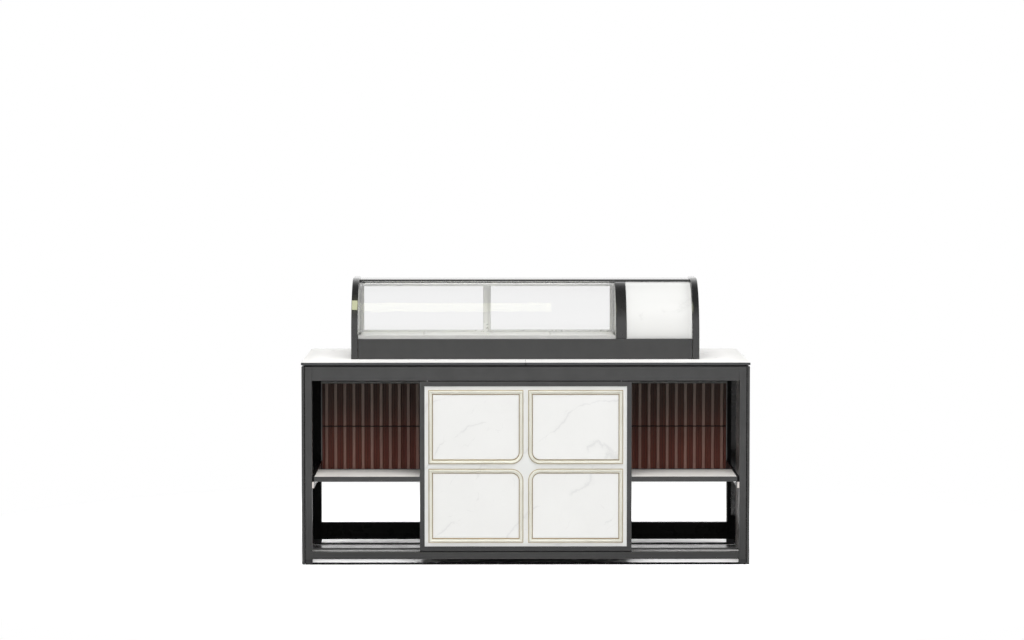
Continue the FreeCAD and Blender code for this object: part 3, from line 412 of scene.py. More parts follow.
def milkyDiffuser():
    material, shader, place = startMaterial("milkyDiffuser")
    flutes = shade("TexWave", {"Vector": place, "Scale": 90.0}, bands_direction="X")[1]
    base = mixColour(flutes, screen(232, 233, 230), screen(246, 246, 243))
    feed(shader, {"Base Color": base, "Emission Color": base, "Emission Strength": 1.0, "Roughness": 0.5})
    bumped(shader, flutes, 0.05)
    return material


def rigidFoam():
    material, shader, place = startMaterial("rigidFoam")
    cells = shade("TexVoronoi", {"Vector": place, "Scale": 420.0})["Distance"]
    base = mixColour(cells, screen(196, 182, 140), screen(232, 222, 190))
    feed(shader, {"Base Color": base, "Roughness": 0.9})
    bumped(shader, cells, 0.4)
    return material


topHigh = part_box("worktop_boards")[1]
tileLow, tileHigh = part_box("fluted_tiles")
legLow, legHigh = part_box("legs")
known = sizes(legDepth=50.0, sidePanel=11.2, tileRise=9.0)  # sizes that the finishes need
lengthways = (0.03, 1.0, 1.0)  # grain that runs along X
paint = {
    # painted shade: the frame paint is darkened towards the floor
    "frame": coated("framePaint", grey(69), rough=0.42, bump=0.03, cloud=0.07, rub=0.22,
                    dust=0.05, grime=0.55),
    # painted highlight: a paler copy of the frame paint, so that the stretcher's top reads bright
    "bar": coated("barPaintHighlit", grey(96), rough=0.18, bump=0.005, cloud=0.07, specular=1.0),
    # painted light: a pale grey so that the tile frames, in the apron's shade, read as bright as the front
    # frame
    "trim": coated("tileTrimPaintedLight", screen(164, 164, 163)),
    # painted shade: a nearly black copy of the frame paint for the members that stand in shade behind the
    # front
    "inner": coated("innerFramePaint", grey(16), rough=0.3, cloud=0.1, rub=0.15, dust=0.02,
                    specular=0.05),
    "case": coated("casePaint", grey(66), grain=1300.0),
    "sill": coated("sillPaint", screen(224, 223, 221), grain=1300.0, bump=0.01, cloud=0.03,
                   specular=0.3),
    "machine": coated("machinePaint", screen(22, 22, 23), rough=0.22, grain=300.0, cloud=0.2,
                      dust=0.25, specular=0.5, coat=0.4),
}
plastic = {
    "foot": coated("footPlastic", screen(38, 38, 39), rough=0.55, grain=1600.0, bump=0.05,
                   cloud=0.12, rub=0.4, dust=0.15, specular=0.3),
    "shell": coated("caseShell", grey(33), rough=0.3, grain=1500.0, bump=0.003, rub=0.15,
                    specular=0.1, coat=1.0),
    "black": coated("blackPlastic", screen(30, 30, 31), rough=0.45, grain=2200.0, bump=0.05,
                    cloud=0.12, rub=0.3, specular=0.4),
    "bead": coated("glazingBead", screen(176, 176, 175), rough=0.7, grain=2000.0, bump=0.04,
                   cloud=0.15, rub=0.1, specular=0.2),
    # painted light: pale colour for the shelf-bar caps, standing in for the bright patch below the shelf ends
    "cap": coated("capPlasticPaintedLight", screen(218, 211, 207), rough=0.5, grain=1800.0, bump=0.03,
                  cloud=0.04, rub=0.1, specular=0.3),
    "mark": coated("printedMark", screen(214, 214, 210), rough=0.5, grain=1800.0, bump=0.01,
                   cloud=0.04, rub=0.0, specular=0.5),
}
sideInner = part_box("side_panels")[1].x - known["sidePanel"]
board = {
    "side": sideLaminatePaintedLight(sideInner, legLow.y + known["legDepth"], legHigh.y - known["legDepth"]),
    "black": coated("blackBoard", screen(40, 39, 39), rough=0.65, grain=800.0, bump=0.08,
                    cloud=0.2, specular=0.2),
    "shelf": grainedBoard("shelfBoard", screen(246, 241, 234), screen(253, 251, 248),
                          rough=0.6, stretch=lengthways, scale=260.0, specular=0.08, dust=0.0),
    "cabinet": grainedBoard("cabinetBoard", screen(50, 50, 51), screen(66, 65, 65),
                            rough=0.42, stretch=(1.0, 1.0, 0.03), scale=420.0, specular=0.3),
}
marble = {
    "slab": veinedStone("panelMarble", screen(240, 240, 238), screen(218, 218, 217),
                        veinScale=4.6, veinWidth=0.028, rough=0.2, shift=(0.1, 0.0, 0.3))[0],
    "board": veinedStone("boardMarble", screen(235, 236, 234), screen(216, 216, 215),
                         veinScale=4.6, veinWidth=0.028, rough=0.2, shift=(0.1, 0.0, 0.3))[0],
    # painted shade: a darker copy of the panel marble, offsetting the stronger light on the cover's upturned
    # face
    "cover": veinedStone("coverMarbleShaded", screen(224, 224, 222), screen(212, 212, 210),
                         veinScale=4.0, veinWidth=0.024, rough=0.16, shift=(0.9, 0.4, 0.1))[0],
}
worktop = worktopStone(topHigh)
gilded = mouldingPaint()
glaze = tileGlaze(tileLow.y, known["tileRise"], (tileLow.z + tileHigh.z) / 2)
metal = {
    "steel": brushedMetal("brushedSteel", screen(224, 224, 222), rough=0.3, stretch=lengthways,
                          drift=0.04, bump=0.005),
    "deck": brushedMetal("satinSteel", screen(238, 238, 236), rough=0.35, stretch=lengthways,
                         drift=0.03, bump=0.004, metallic=0.4),
    "bright": brushedMetal("turnedSteel", screen(210, 210, 208), rough=0.22,
                           stretch=(1.0, 1.0, 0.05)),
    "aluminium": brushedMetal("anodisedAluminium", screen(240, 240, 239), rough=0.3,
                              stretch=(0.04, 1.0, 0.04), scale=1400.0, drift=0.03, bump=0.003, metallic=0.35),
    "copper": brushedMetal("plainCopper", screen(200, 128, 92), rough=0.35, stretch=(0.1, 1.0, 1.0),
                           scale=500.0, drift=0.12),
}
frontGlassFinish = clearGlass("frontGlassFinish", grey(250), mirror=0.205)  # low reflection
doorGlassFinish = clearGlass("doorGlassFinish", grey(248), mirror=0.6)
diffuser = milkyDiffuser()
foam = rigidFoam()
print("materials built:", len(bpy.data.materials))

# mesh helpers
hardAngle = math.radians(30)  # edges bent more than this are hard
roundAngle = math.radians(60)  # within a rounded edge, faces bent less than this shade as one


def faceWidth(face):
    longest = max(e.calc_length() for e in face.edges)
    return face.calc_area() / longest if longest else 0.0


def bend(edge):
    return edge.calc_face_angle(0.0) if len(edge.link_faces) == 2 else math.pi


def soften(bm, bevel, segments=2, shortest=0.0):
    # rounds the hard edges inwards, and marks the new faces so that paint can be made paler there, as wear
    # and as painted highlight
    layer = bm.faces.layers.float.new("rub")
    bm.normal_update()
    for face in bm.faces:
        face.smooth = True
    for edge in bm.edges:
        edge.smooth = bend(edge) < hardAngle
    hard = [e for e in bm.edges if not e.smooth and len(e.link_faces) == 2 and e.calc_length() > shortest]
    if not (bevel and hard):
        return
    bmesh.ops.bevel(bm, geom=hard, offset=bevel, segments=segments, profile=0.5, affect="EDGES",
                    clamp_overlap=True)
    widest = bevel * 1.6
    made = set()
    for face in bm.faces:
        narrow = min(e.calc_length() for e in face.edges) < widest
        if narrow and (face.calc_area() < bevel * bevel * 4 or faceWidth(face) < widest):
            made.add(face)
    for face in bm.faces:
        face.smooth = True
        face[layer] = 1.0 if face in made else 0.0
    for edge in bm.edges:
        sides = [f in made for f in edge.link_faces]
        edge.smooth = len(set(sides)) == 1 and bend(edge) < (roundAngle if all(sides) else hardAngle)


def toObject(name, bm, *materials):
    mesh = bpy.data.meshes.new(name)
    bm.to_mesh(mesh)
    bm.free()
    obj = bpy.data.objects.new(name, mesh)
    scene.collection.objects.link(obj)
    for material in materials:
        mesh.materials.append(material)
    return obj


def settle(obj, body, *cadNodes):
    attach(obj, body)
    if cadNodes:
        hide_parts(*cadNodes)


def outward(bm):
    bmesh.ops.recalc_face_normals(bm, faces=bm.faces)
    return bm


def loft(bm, rings, capped=True):
    # joins closed rings of points into a skin; the rings have equal counts
    rows = [[bm.verts.new(p) for p in ring] for ring in rings]
    count = len(rows[0])
    for a, b in zip(rows, rows[1:]):
        for k in range(count):
            n = (k + 1) % count
            bm.faces.new((a[k], a[n], b[n], b[k]))
    bm.faces.new(list(reversed(rows[0])))
    if capped:
        bm.faces.new(rows[-1])
    return rows


def skinned(*skins):
    # a mesh of closed skins, each of them a list of rings
    bm = bmesh.new()
    for rings in skins:
        loft(bm, rings)
    return outward(bm)


def camelName(node):
    first, *others = node.split("_")
    return first + "".join(word.capitalize() for word in others)


def hand(label, finish, skins, edge=0.0, segments=2, body="station", node=None):
    # makes a piece and hands it to its body; the edges are rounded by so many millimetres
    bm = skinned(*skins)
    soften(bm, edge * mm, segments)
    node = node or label
    nodes = [node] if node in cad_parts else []
    settle(toObject(camelName(label), bm, finish), body, *nodes)


def dress(node, finish, edge, segments=2, shortest=5.0, body="station", name=None, keep=None):
    # a CAD node's own shape with rounded edges; edges up to the shortest stay as they are, in millimetres
    bm = bmesh.new()
    bm.from_mesh(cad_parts[node].data)
    bmesh.ops.remove_doubles(bm, verts=bm.verts, dist=1e-5)
    if keep:
        bmesh.ops.delete(bm, geom=[v for v in bm.verts if not keep(v.co)], context="VERTS")
    bmesh.ops.dissolve_limit(bm, angle_limit=math.radians(0.4), verts=bm.verts, edges=bm.edges)
    soften(bm, edge * mm, segments, shortest * mm)
    settle(toObject(name or camelName(node), bm, finish), body, node)


def circle(steps, start=0.0):
    return [2 * math.pi * (k + start) / steps for k in range(steps)]


def turned(profile, centre, axis, steps=40):
    # revolves (radius, distance along the axis) pairs round a line
    axis = Vector(axis)
    side = axis.orthogonal().normalized()
    other = axis.cross(side)
    rings = []
    for radius, along in profile:
        spot = Vector(centre) + axis * along
        reach = max(radius, 1e-5)
        rings.append([spot + (side * math.cos(a) + other * math.sin(a)) * reach for a in circle(steps)])
    return rings


def block(low, high):
    corners = ((low[0], low[1]), (high[0], low[1]), (high[0], high[1]), (low[0], high[1]))
    return [[Vector((x, y, z)) for x, y in corners] for z in (low[2], high[2])]


def alongX(outline, x0, x1):
    # an outline in Y and Z, drawn out along X
    return [[Vector((x, y, z)) for y, z in outline] for x in (x0, x1)]


def middle(low, high):
    return (low + high) / 2


# geometry trees
def startTree(name, **inputs):
    geometry = {"Geometry": ["Geometry"]}
    return beginTree(name, "GeometryNodeTree", geometry, {**geometry, **inputs, "Material": ["Material"]})


def endTree(given, geometry):
    real = form("RealizeInstances", {"Geometry": geometry})
    return endGroup(Geometry=form("SetMaterial", {"Geometry": real, "Material": given["Material"]}))


def joined(*parts):
    node = addNode("GeometryNodeJoinGeometry")
    for part in parts:
        feed(node, {0: part})
    return node.outputs[0]


def grow(obj, tree, values, angle=35):
    # runs a tree on an object and keeps the result as a plain mesh
    modifier = obj.modifiers.new("grow", "NODES")
    modifier.node_group = tree
    for item in tree.interface.items_tree:
        if item.in_out == "INPUT" and item.name in values:
            modifier[item.identifier] = values[item.name]
    depsgraph = bpy.context.evaluated_depsgraph_get()
    mesh = bpy.data.meshes.new_from_object(obj.evaluated_get(depsgraph), preserve_all_data_layers=True,
                                           depsgraph=depsgraph)
    obj.modifiers.clear()
    obj.data = mesh
    mesh.shade_smooth()
    mesh.set_sharp_from_angle(angle=math.radians(angle))


def spreadTree():
    # repeats a piece; each one steps and turns on from the one before it
    given = startTree("spread", Int=["Count"], Vector=["Start", "Step", "First turn", "Turn"])
    line = form("MeshLine", {"Count": given["Count"], "Start Location": given["Start"],
                             "Offset": given["Step"]})
    turn = shade("VectorMath", {0: given["Turn"], "Scale": form("InputIndex")}, operation="SCALE")[0]
    placed = form("InstanceOnPoints", {"Points": line, "Instance": given["Geometry"],
                                       "Rotation": moved(turn, given["First turn"])})
    return endTree(given, placed)


spread = spreadTree()


def pointsObject(name, points):
    mesh = bpy.data.meshes.new(name)
    mesh.from_pydata([tuple(p) for p in points], [], [])
    obj = bpy.data.objects.new(name, mesh)
    scene.collection.objects.link(obj)
    return obj


# counter frame: front members in grey paint; what stands behind them has the same paint darkened nearly
# black, painted shade
frameStyle = {"tubeEdge": 1.4, "barEdge": 0.9, "boardEdge": 0.7, "footEdge": 2.2, "middleY": 0.0}
tubeEdge, barEdge = frameStyle["tubeEdge"], frameStyle["barEdge"]
dress("legs", paint["inner"], tubeEdge, name="rearLegs", keep=lambda p: p.y > frameStyle["middleY"])
dress("legs", paint["frame"], tubeEdge, name="frontLegs", keep=lambda p: p.y < frameStyle["middleY"])
dress("foot_blocks", plastic["foot"], frameStyle["footEdge"], segments=3)
dress("floor_runners", paint["inner"], barEdge)
dress("side_panels", board["side"], frameStyle["boardEdge"])
dress("front_apron", paint["frame"], tubeEdge)
dress("rear_apron", paint["inner"], tubeEdge)
dress("side_rails", paint["inner"], barEdge, shortest=12)
dress("front_bottom_rail", paint["frame"], tubeEdge)
dress("rear_bottom_rail", paint["inner"], tubeEdge)
# the stretcher's paler paint is painted highlight
dress("lower_stretcher", paint["bar"], barEdge)
dress("cable_trunking", plastic["shell"], edge=0.35)
dress("sub_top", board["black"], edge=0.5)

# plastic caps on the front ends of the shelf bars, below the trays; their pale colour is painted light,
# standing in for the bright patch seen there
capStyle = sizes(legWidth=30.0, barWidth=10.0, barHeight=52.0, inset=0.5, rise=1.4, seat=0.2)
trayLow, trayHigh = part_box("shelf_trays")
legInner = legHigh.x - capStyle["legWidth"]
capOuter = legInner - capStyle["inset"]
capInner = legInner - capStyle["barWidth"] + capStyle["inset"]
capBottom = trayHigh.z - capStyle["barHeight"] + capStyle["inset"]
capTop = trayLow.z - capStyle["inset"]
capFront, capBack = legLow.y - capStyle["rise"], legLow.y + capStyle["seat"]
caps = [block((x0, capFront, capBottom), (x1, capBack, capTop))
        for x0, x1 in ((-capOuter, -capInner), (capInner, capOuter))]
hand("shelfBarCaps", plastic["cap"], caps, edge=0.7, segments=3)
dress("worktop_boards", worktop, edge=0.9, segments=3, name="worktopSlabs")
print("counter frame dressed")

# side bays: shelves, pins, tile frames and backing boards
dress("shelf_trays", paint["frame"], edge=0.6)
dress("shelf_boards", board["shelf"], edge=0.4)
dress("shelf_pins", metal["bright"], edge=0.5, shortest=0.2)
# the tile frames' pale grey is painted light
dress("tile_frames", paint["trim"], edge=0.5)
dress("tile_backers", board["black"], edge=0.5)

tileStyle = {
    "columns": 11, "rows": 2, "seed": 7, **sizes(joint=1.2, chamfer=1.6, frame=4.0, lip=0.5, lipFall=0.6),
    # (distance from the middle, depth) of half the front: rib, shoulder, then two fine reeds in the valley
    "profile": [(0, 0), (3.2, 0), (4.9, 0.15), (5.9, 0.7), (6.6, 1.9), (8.2, 4.6), (9.9, 7.2), (10.9, 8.2),
                (11.8, 8.8), (12.6, 8.2), (13.8, 7.9), (15.0, 8.2), (15.6, 8.9), (16.2, 8.2), (17.4, 7.9),
                (18.6, 8.2), (19.3, 8.8)],
}


def oneTile(pitch, height, depth):
    half = (pitch - tileStyle["joint"]) / 2
    rise = known["tileRise"]
    right = [(x * mm, y * mm) for x, y in tileStyle["profile"]]
    right += [(half - tileStyle["lip"], rise), (half, rise + tileStyle["lipFall"])]
    outline = [(-x, y) for x, y in reversed(right[1:])] + right + [(half, depth), (-half, depth)]
    chamfer = tileStyle["chamfer"]
    rings = []
    for z, inset in ((0.0, chamfer), (chamfer, 0.0), (height - chamfer, 0.0), (height, chamfer)):
        shrink = 1 - inset / half
        rings.append([Vector((x * shrink, min(y + inset, depth), z)) for x, y in outline])
    return skinned(rings)


def tileWallTree():
    given = startTree("tileWall", Int=["Columns", "Rows", "Seed"], Float=["Pitch", "Row step"],
                      Vector=["Left middle", "Right middle"])
    width = times(less(given["Columns"], 1.0), given["Pitch"])
    height = times(less(given["Rows"], 1.0), given["Row step"])
    grid = form("MeshGrid", {"Size X": width, "Size Y": height, "Vertices X": given["Columns"],
                             "Vertices Y": given["Rows"]})
    upright = (math.radians(90), 0.0, 0.0)
    walls = [form("Transform", {"Geometry": grid, "Translation": given[side], "Rotation": upright})
             for side in ("Right middle", "Left middle")]
    placed = form("InstanceOnPoints", {"Points": joined(*walls), "Instance": given["Geometry"]})
    chance = addNode("FunctionNodeRandomValue", {"Seed": given["Seed"]}, data_type="FLOAT").outputs[1]
    toned = form("StoreNamedAttribute", {"Geometry": placed, "Name": "tone", "Value": chance},
                 data_type="FLOAT", domain="INSTANCE")
    return endTree(given, toned)


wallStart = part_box("cabinet_sides")[1].x + tileStyle["frame"]
tilePitch = (tileHigh.x + tileStyle["joint"] / 2 - wallStart) / tileStyle["columns"]
rowStep = (tileHigh.z - tileLow.z + tileStyle["joint"]) / tileStyle["rows"]
wallMiddle = wallStart + tilePitch * tileStyle["columns"] / 2
rowMiddle = tileLow.z + rowStep / 2
tile = oneTile(tilePitch, rowStep - tileStyle["joint"], tileHigh.y - tileLow.y)
tiles = toObject("flutedTiles", tile, glaze)
grow(tiles, tileWallTree(), {"Columns": tileStyle["columns"], "Rows": tileStyle["rows"], "Pitch": tilePitch,
                             "Row step": rowStep, "Left middle": (-wallMiddle, tileLow.y, rowMiddle),
                             "Right middle": (wallMiddle, tileLow.y, rowMiddle), "Seed": tileStyle["seed"],
                             "Material": glaze}, angle=28)
settle(tiles, "station", "fluted_tiles")
print("tiles laid:", len(tiles.data.polygons), "faces")

# cabinet box and its front panel
dress("cabinet_sides", board["cabinet"], edge=0.6, shortest=12)
dress("cabinet_floor", board["cabinet"], edge=0.5)
dress("cabinet_inner_shelf", board["cabinet"], edge=0.6)
dress("front_panel_frame", paint["frame"], edge=0.9)
dress("front_panel_board", marble["board"], edge=0.4)

mouldingStyle = {
    "cornerSteps": 20, **sizes(cornerRadius=53.0, halfGap=10.75, slabGap=20.5, slabEdge=0.8),
    # (distance across, height) from the outer edge: gold bead, cream crown, cove, gold bead
    "profile": [(0, 0), (0, 2.4), (0.5, 3.4), (1.5, 4.0), (2.5, 3.7), (3.05, 3.0), (3.2, 4.6), (3.9, 6.6),
                (5.0, 8.1), (6.4, 8.9), (7.8, 8.9), (9.0, 8.3), (10.4, 6.8), (12.0, 5.0), (13.6, 4.2),
                (16.6, 3.9), (16.8, 4.5), (17.5, 5.2), (18.5, 5.3), (19.4, 4.7), (20, 3.6), (20, 0)],
}


def roundFrame(low, high, inset=0.0):
    # outline of the upper left field: square but for the corner nearest the panel's middle
    radius = mouldingStyle["cornerRadius"]
    points = [((low.x, high.z), (1, -1)), ((high.x, high.z), (-1, -1))]
    for k in range(mouldingStyle["cornerSteps"] + 1):
        a = -math.pi / 2 * k / mouldingStyle["cornerSteps"]
        u, v = math.cos(a), math.sin(a)
        points.append(((high.x - radius + radius * u, low.z + radius + radius * v), (-u, -v)))
    points.append(((low.x, low.z), (1, 1)))
    return [(x + inset * u, z + inset * v, u, v) for (x, z), (u, v) in points]


def mouldingTree():
    given = startTree("mouldingSweep", Int=["Path points", "Profile points"], Float=["Mirror height"])
    onPathCount, onProfileCount = given["Path points"], given["Profile points"]
    grid = form("MeshGrid", {"Vertices X": onPathCount, "Vertices Y": onProfileCount})
    index = form("InputIndex")
    onPath = formula("FLOOR", formula("DIVIDE", index, onProfileCount))
    onProfile = plus(formula("MODULO", index, onProfileCount), onPathCount)
    position = form("InputPosition")
    inward = form("InputNamedAttribute", {"Name": "inward"}, data_type="FLOAT_VECTOR")

    def sample(value, at):
        inputs = {"Geometry": given["Geometry"], "Value": value, "Index": at}
        return form("SampleIndex", inputs, data_type="FLOAT_VECTOR")

    profile = axes(sample(position, onProfile))
    reach = shade("VectorMath", {0: sample(inward, onPath), "Scale": profile["X"]}, operation="SCALE")[0]
    rise = vector(Y=times(profile["Z"], -1.0))
    place = moved(moved(sample(position, onPath), reach), rise)
    kept = form("StoreNamedAttribute", {"Geometry": grid, "Name": "across", "Value": profile["X"]},
                data_type="FLOAT")
    swept = form("SetPosition", {"Geometry": kept, "Position": place})
    # the piece, then its mirror image to the right, then both below
    lifted = vector(Z=given["Mirror height"])
    for scale, lift in (((-1.0, 1.0, 1.0), (0.0, 0.0, 0.0)), ((1.0, 1.0, -1.0), lifted)):
        image = form("Transform", {"Geometry": swept, "Translation": lift, "Scale": scale})
        swept = joined(swept, form("FlipFaces", {0: image}))
    return endTree(given, form("MergeByDistance", {"Geometry": swept, "Distance": 1e-5}))


panelLow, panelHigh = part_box("panel_mouldings")
panelMiddle = middle(panelLow.z, panelHigh.z)
boardFront = panelHigh.y
fieldLow = Vector((panelLow.x, boardFront, panelMiddle + mouldingStyle["halfGap"]))
fieldHigh = Vector((-mouldingStyle["halfGap"], boardFront, panelHigh.z))
path = roundFrame(fieldLow, fieldHigh)
path += path[:1]
profile = [(x * mm, 0.0, z * mm) for x, z in mouldingStyle["profile"]]
profile += profile[:1]
mouldings = pointsObject("panelMouldings", [(x, boardFront, z) for x, z, u, v in path] + profile)
directions = mouldings.data.attributes.new("inward", "FLOAT_VECTOR", "POINT")
for k, (x, z, u, v) in enumerate(path):
    directions.data[k].vector = (u, 0.0, v)
grow(mouldings, mouldingTree(), {"Path points": len(path), "Profile points": len(profile),
                                 "Mirror height": 2 * panelMiddle, "Material": gilded}, angle=32)
settle(mouldings, "station", "panel_mouldings")

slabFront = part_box("inset_slabs")[0].y
slabEdge = mouldingStyle["slabEdge"]
slabs = []
for mirrorX, mirrorZ in ((1, 1), (1, -1), (-1, 1), (-1, -1)):
    rings = []
    for y, inset in ((boardFront, 0.0), (slabFront + slabEdge, 0.0), (slabFront, slabEdge)):
        ring = roundFrame(fieldLow, fieldHigh, mouldingStyle["slabGap"] + inset)
        rings.append([Vector((x * mirrorX, y, panelMiddle + (z - panelMiddle) * mirrorZ))
                      for x, z, u, v in ring])
    slabs.append(rings)
hand("inset_slabs", marble["slab"], slabs)
print("front panel made:", len(mouldings.data.polygons), "faces of moulding")

# rear doors of the cabinet, with handles and hinges
handleStyle = {"endSteps": 6, "steps": 32,
               **sizes(barRadius=6.0, postRadius=4.8, roseRadius=9.0, roseRise=2.0)}
radius, post = handleStyle["barRadius"], handleStyle["postRadius"]
rose, lift = handleStyle["roseRadius"], handleStyle["roseRise"]
for side in ("left", "right"):
    body = "cabinet_door_" + side
    dress(body, board["cabinet"], edge=0.9, segments=3, body=body)
    dress("door_hinge_leaves_" + side, metal["steel"], edge=0.3, shortest=3, body=body)
    low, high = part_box("cabinet_handle_" + side)
    x = middle(low.x, high.x)
    barY = high.y - radius
    ends = []
    for k in range(handleStyle["endSteps"] + 1):
        a = math.pi / 2 * k / handleStyle["endSteps"]
        ends.append((radius * math.sin(a), radius * (1 - math.cos(a))))
    bar = ends + [(r, high.z - low.z - t) for r, t in reversed(ends)]
    foot = [(rose, 0), (rose, lift * 0.6), (rose - lift * 0.4, lift), (post + lift * 0.6, lift),
            (post, lift * 1.6), (post, barY - low.y)]
    skins = [turned(bar, (x, barY, low.z), upAxis, handleStyle["steps"])]
    for z in (low.z + 2 * radius, high.z - 2 * radius):
        skins.append(turned(foot, (x, low.y, z), rearAxis, handleStyle["steps"]))
    hand("cabinet_handle_" + side, metal["bright"], skins, body=body)
dress("cabinet_hinges", metal["steel"], edge=0.3, shortest=3)

# rubber strip on the closing edge of the left door, short of the right one
sealStyle = sizes(play=0.3, seat=0.2, inset=2.0)
low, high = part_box("cabinet_door_left")
inset = sealStyle["inset"]
sealLow = (high.x - sealStyle["seat"], low.y + inset, low.z + inset)
sealHigh = (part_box("cabinet_door_right")[0].x - sealStyle["play"], high.y - inset, high.z - inset)
hand("doorSeal", plastic["black"], [block(sealLow, sealHigh)], edge=0.5, segments=3, body="cabinet_door_left")
print("cabinet doors hung")

# display case: shell pieces share one arc, its centre taken from the end panels
caseStyle = {"arcSteps": 56, "sheetEnd": math.radians(88), "shellEdge": 2.4, "dividerEdge": 1.6,
             **sizes(shoulderRadius=260.0, glass=6.0, cover=8.0)}
endLow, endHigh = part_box("end_panels")
arcY = endLow.y + caseStyle["shoulderRadius"]
arcZ = endHigh.z - caseStyle["shoulderRadius"]


def arcPoints(radius, end):
    angles = [end * k / caseStyle["arcSteps"] for k in range(caseStyle["arcSteps"] + 1)]
    return [(arcY - radius * math.cos(a), arcZ + radius * math.sin(a)) for a in angles]


def caseWall(low, high, x0, x1):
    radius = arcY - low.y
    end = math.asin(min(1.0, (high.z - arcZ) / radius))
    return alongX([(low.y, low.z)] + arcPoints(radius, end) + [(high.y, high.z), (high.y, low.z)], x0, x1)


def caseSheet(low, high, thick):
    outer = arcPoints(arcY - low.y, caseStyle["sheetEnd"])
    inner = arcPoints(arcY - low.y - thick, caseStyle["sheetEnd"])
    return alongX([(low.y, low.z)] + outer + inner[::-1] + [(low.y + thick, low.z)], low.x, high.x)


thickness = endHigh.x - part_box("roof_panel")[1].x
ends = ((endLow.x, endLow.x + thickness), (endHigh.x - thickness, endHigh.x))
walls = [caseWall(endLow, endHigh, x0, x1) for x0, x1 in ends]
hand("end_panels", plastic["shell"], walls, caseStyle["shellEdge"], segments=3)
low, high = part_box("divider_panel")
divider = caseWall(low, high, low.x, high.x)
hand("divider_panel", plastic["shell"], [divider], caseStyle["dividerEdge"], segments=3)
glassLow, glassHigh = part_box("front_glass")
hand("front_glass", frontGlassFinish, [caseSheet(glassLow, glassHigh, caseStyle["glass"])], edge=0.6)
hand("machine_cover", marble["cover"], [caseSheet(*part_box("machine_cover"), caseStyle["cover"])], edge=1.0)

dress("case_base_pan", paint["case"], edge=0.9, shortest=12)
dress("case_insulation", foam, edge=0.0)
dress("evaporator_coil", metal["copper"], edge=0.0)
dress("cold_deck", metal["deck"], edge=0.5)
dress("food_plates", metal["deck"], edge=1.2, segments=3)
dress("roof_panel", plastic["shell"], edge=1.0, segments=3)

# angle strip on the cold deck, just inside the foot of the front glass
sillStyle = sizes(height=17.0, thick=2.0, foot=9.0, gap=0.6, endGap=1.0)
height, thick, foot = sillStyle["height"], sillStyle["thick"], sillStyle["foot"]
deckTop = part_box("cold_deck")[1].z
sillY = glassLow.y + caseStyle["glass"] + sillStyle["gap"]
sill = [(0, 0), (0, height), (thick, height), (thick, thick), (foot, thick), (foot, 0)]
sill = alongX([(sillY + y, deckTop + z) for y, z in sill],
              glassLow.x + sillStyle["endGap"], glassHigh.x - sillStyle["endGap"])
hand("glassSill", paint["sill"], [sill], edge=0.4)
dress("door_tracks", metal["aluminium"], edge=0.4)

# strip light: a channel with a round milky lens below it
lightStyle = {"lensSteps": 10, **sizes(channelHeight=2.0, lensInset=1.2)}
low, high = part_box("light_bar")
split = high.z - lightStyle["channelHeight"]
channel = block((low.x, low.y, split), high)
hand("lightChannel", metal["aluminium"], [channel], edge=0.6, node="light_bar")
inset = lightStyle["lensInset"]
halfWidth = (high.y - low.y) / 2 - inset
lens = []
for k in range(lightStyle["lensSteps"] + 1):
    a = math.pi * k / lightStyle["lensSteps"]
    lens.append((middle(low.y, high.y) - halfWidth * math.cos(a), split - (split - low.z) * math.sin(a)))
hand("lightLens", diffuser, [alongX(lens, low.x + inset, high.x - inset)])

# sliding doors: frame, pane, a rubber bead round the pane on both faces and a seal strip on the outer stile
doorStyle = sizes(grip=6.0, beadWidth=1.0, beadRise=1.4, sealWidth=2.6, sealRise=0.8)


def ringBead(low, high, y0, y1, width):
    bars = ((low, (high[0], low[1] + width)), ((low[0], high[1] - width), high),
            ((low[0], low[1] + width), (low[0] + width, high[1] - width)),
            ((high[0] - width, low[1] + width), (high[0], high[1] - width)))
    return [block((a[0], y0, a[1]), (b[0], y1, b[1])) for a, b in bars]


grip, rise, sealWidth = doorStyle["grip"], doorStyle["beadRise"], doorStyle["sealWidth"]
for side in ("left", "right"):
    body = "sliding_door_" + side
    label = side.capitalize()
    dress(body + "_frame", metal["aluminium"], edge=0.6, segments=3, body=body,
          name="slidingDoorFrame" + label)
    dress(body + "_pane", doorGlassFinish, edge=0.3, body=body, name="slidingDoorPane" + label)
    low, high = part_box(body + "_pane")
    windowLow, windowHigh = (low.x + grip, low.z + grip), (high.x - grip, high.z - grip)
    skins = []
    for y0, y1 in ((low.y - rise, low.y), (high.y, high.y + rise)):
        skins += ringBead(windowLow, windowHigh, y0, y1, doorStyle["beadWidth"])
    low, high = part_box(body + "_frame")
    x = low.x if side == "left" else high.x - sealWidth
    stripLow = (x, low.y - doorStyle["sealRise"], windowLow[1])
    skins.append(block(stripLow, (x + sealWidth, low.y, windowHigh[1])))
    hand("slidingDoorBead" + label, plastic["bead"], skins, edge=0.2, body=body)
print("display case built")

# machine bay: grille with louvre blades, controls and refrigeration
dress("rear_grille", paint["case"], edge=0.3)
dress("control_box", plastic["black"], edge=0.5, shortest=8)
dress("power_switch", plastic["black"], edge=0.5, segments=3, shortest=6, body="switch")
dress("power_inlet", plastic["black"], edge=0.4, shortest=3)
dress("compressor", paint["machine"], edge=0.8, shortest=20)
dress("condenser", metal["aluminium"], edge=0.0)
dress("fan_motor", paint["machine"], edge=0.8, shortest=10)

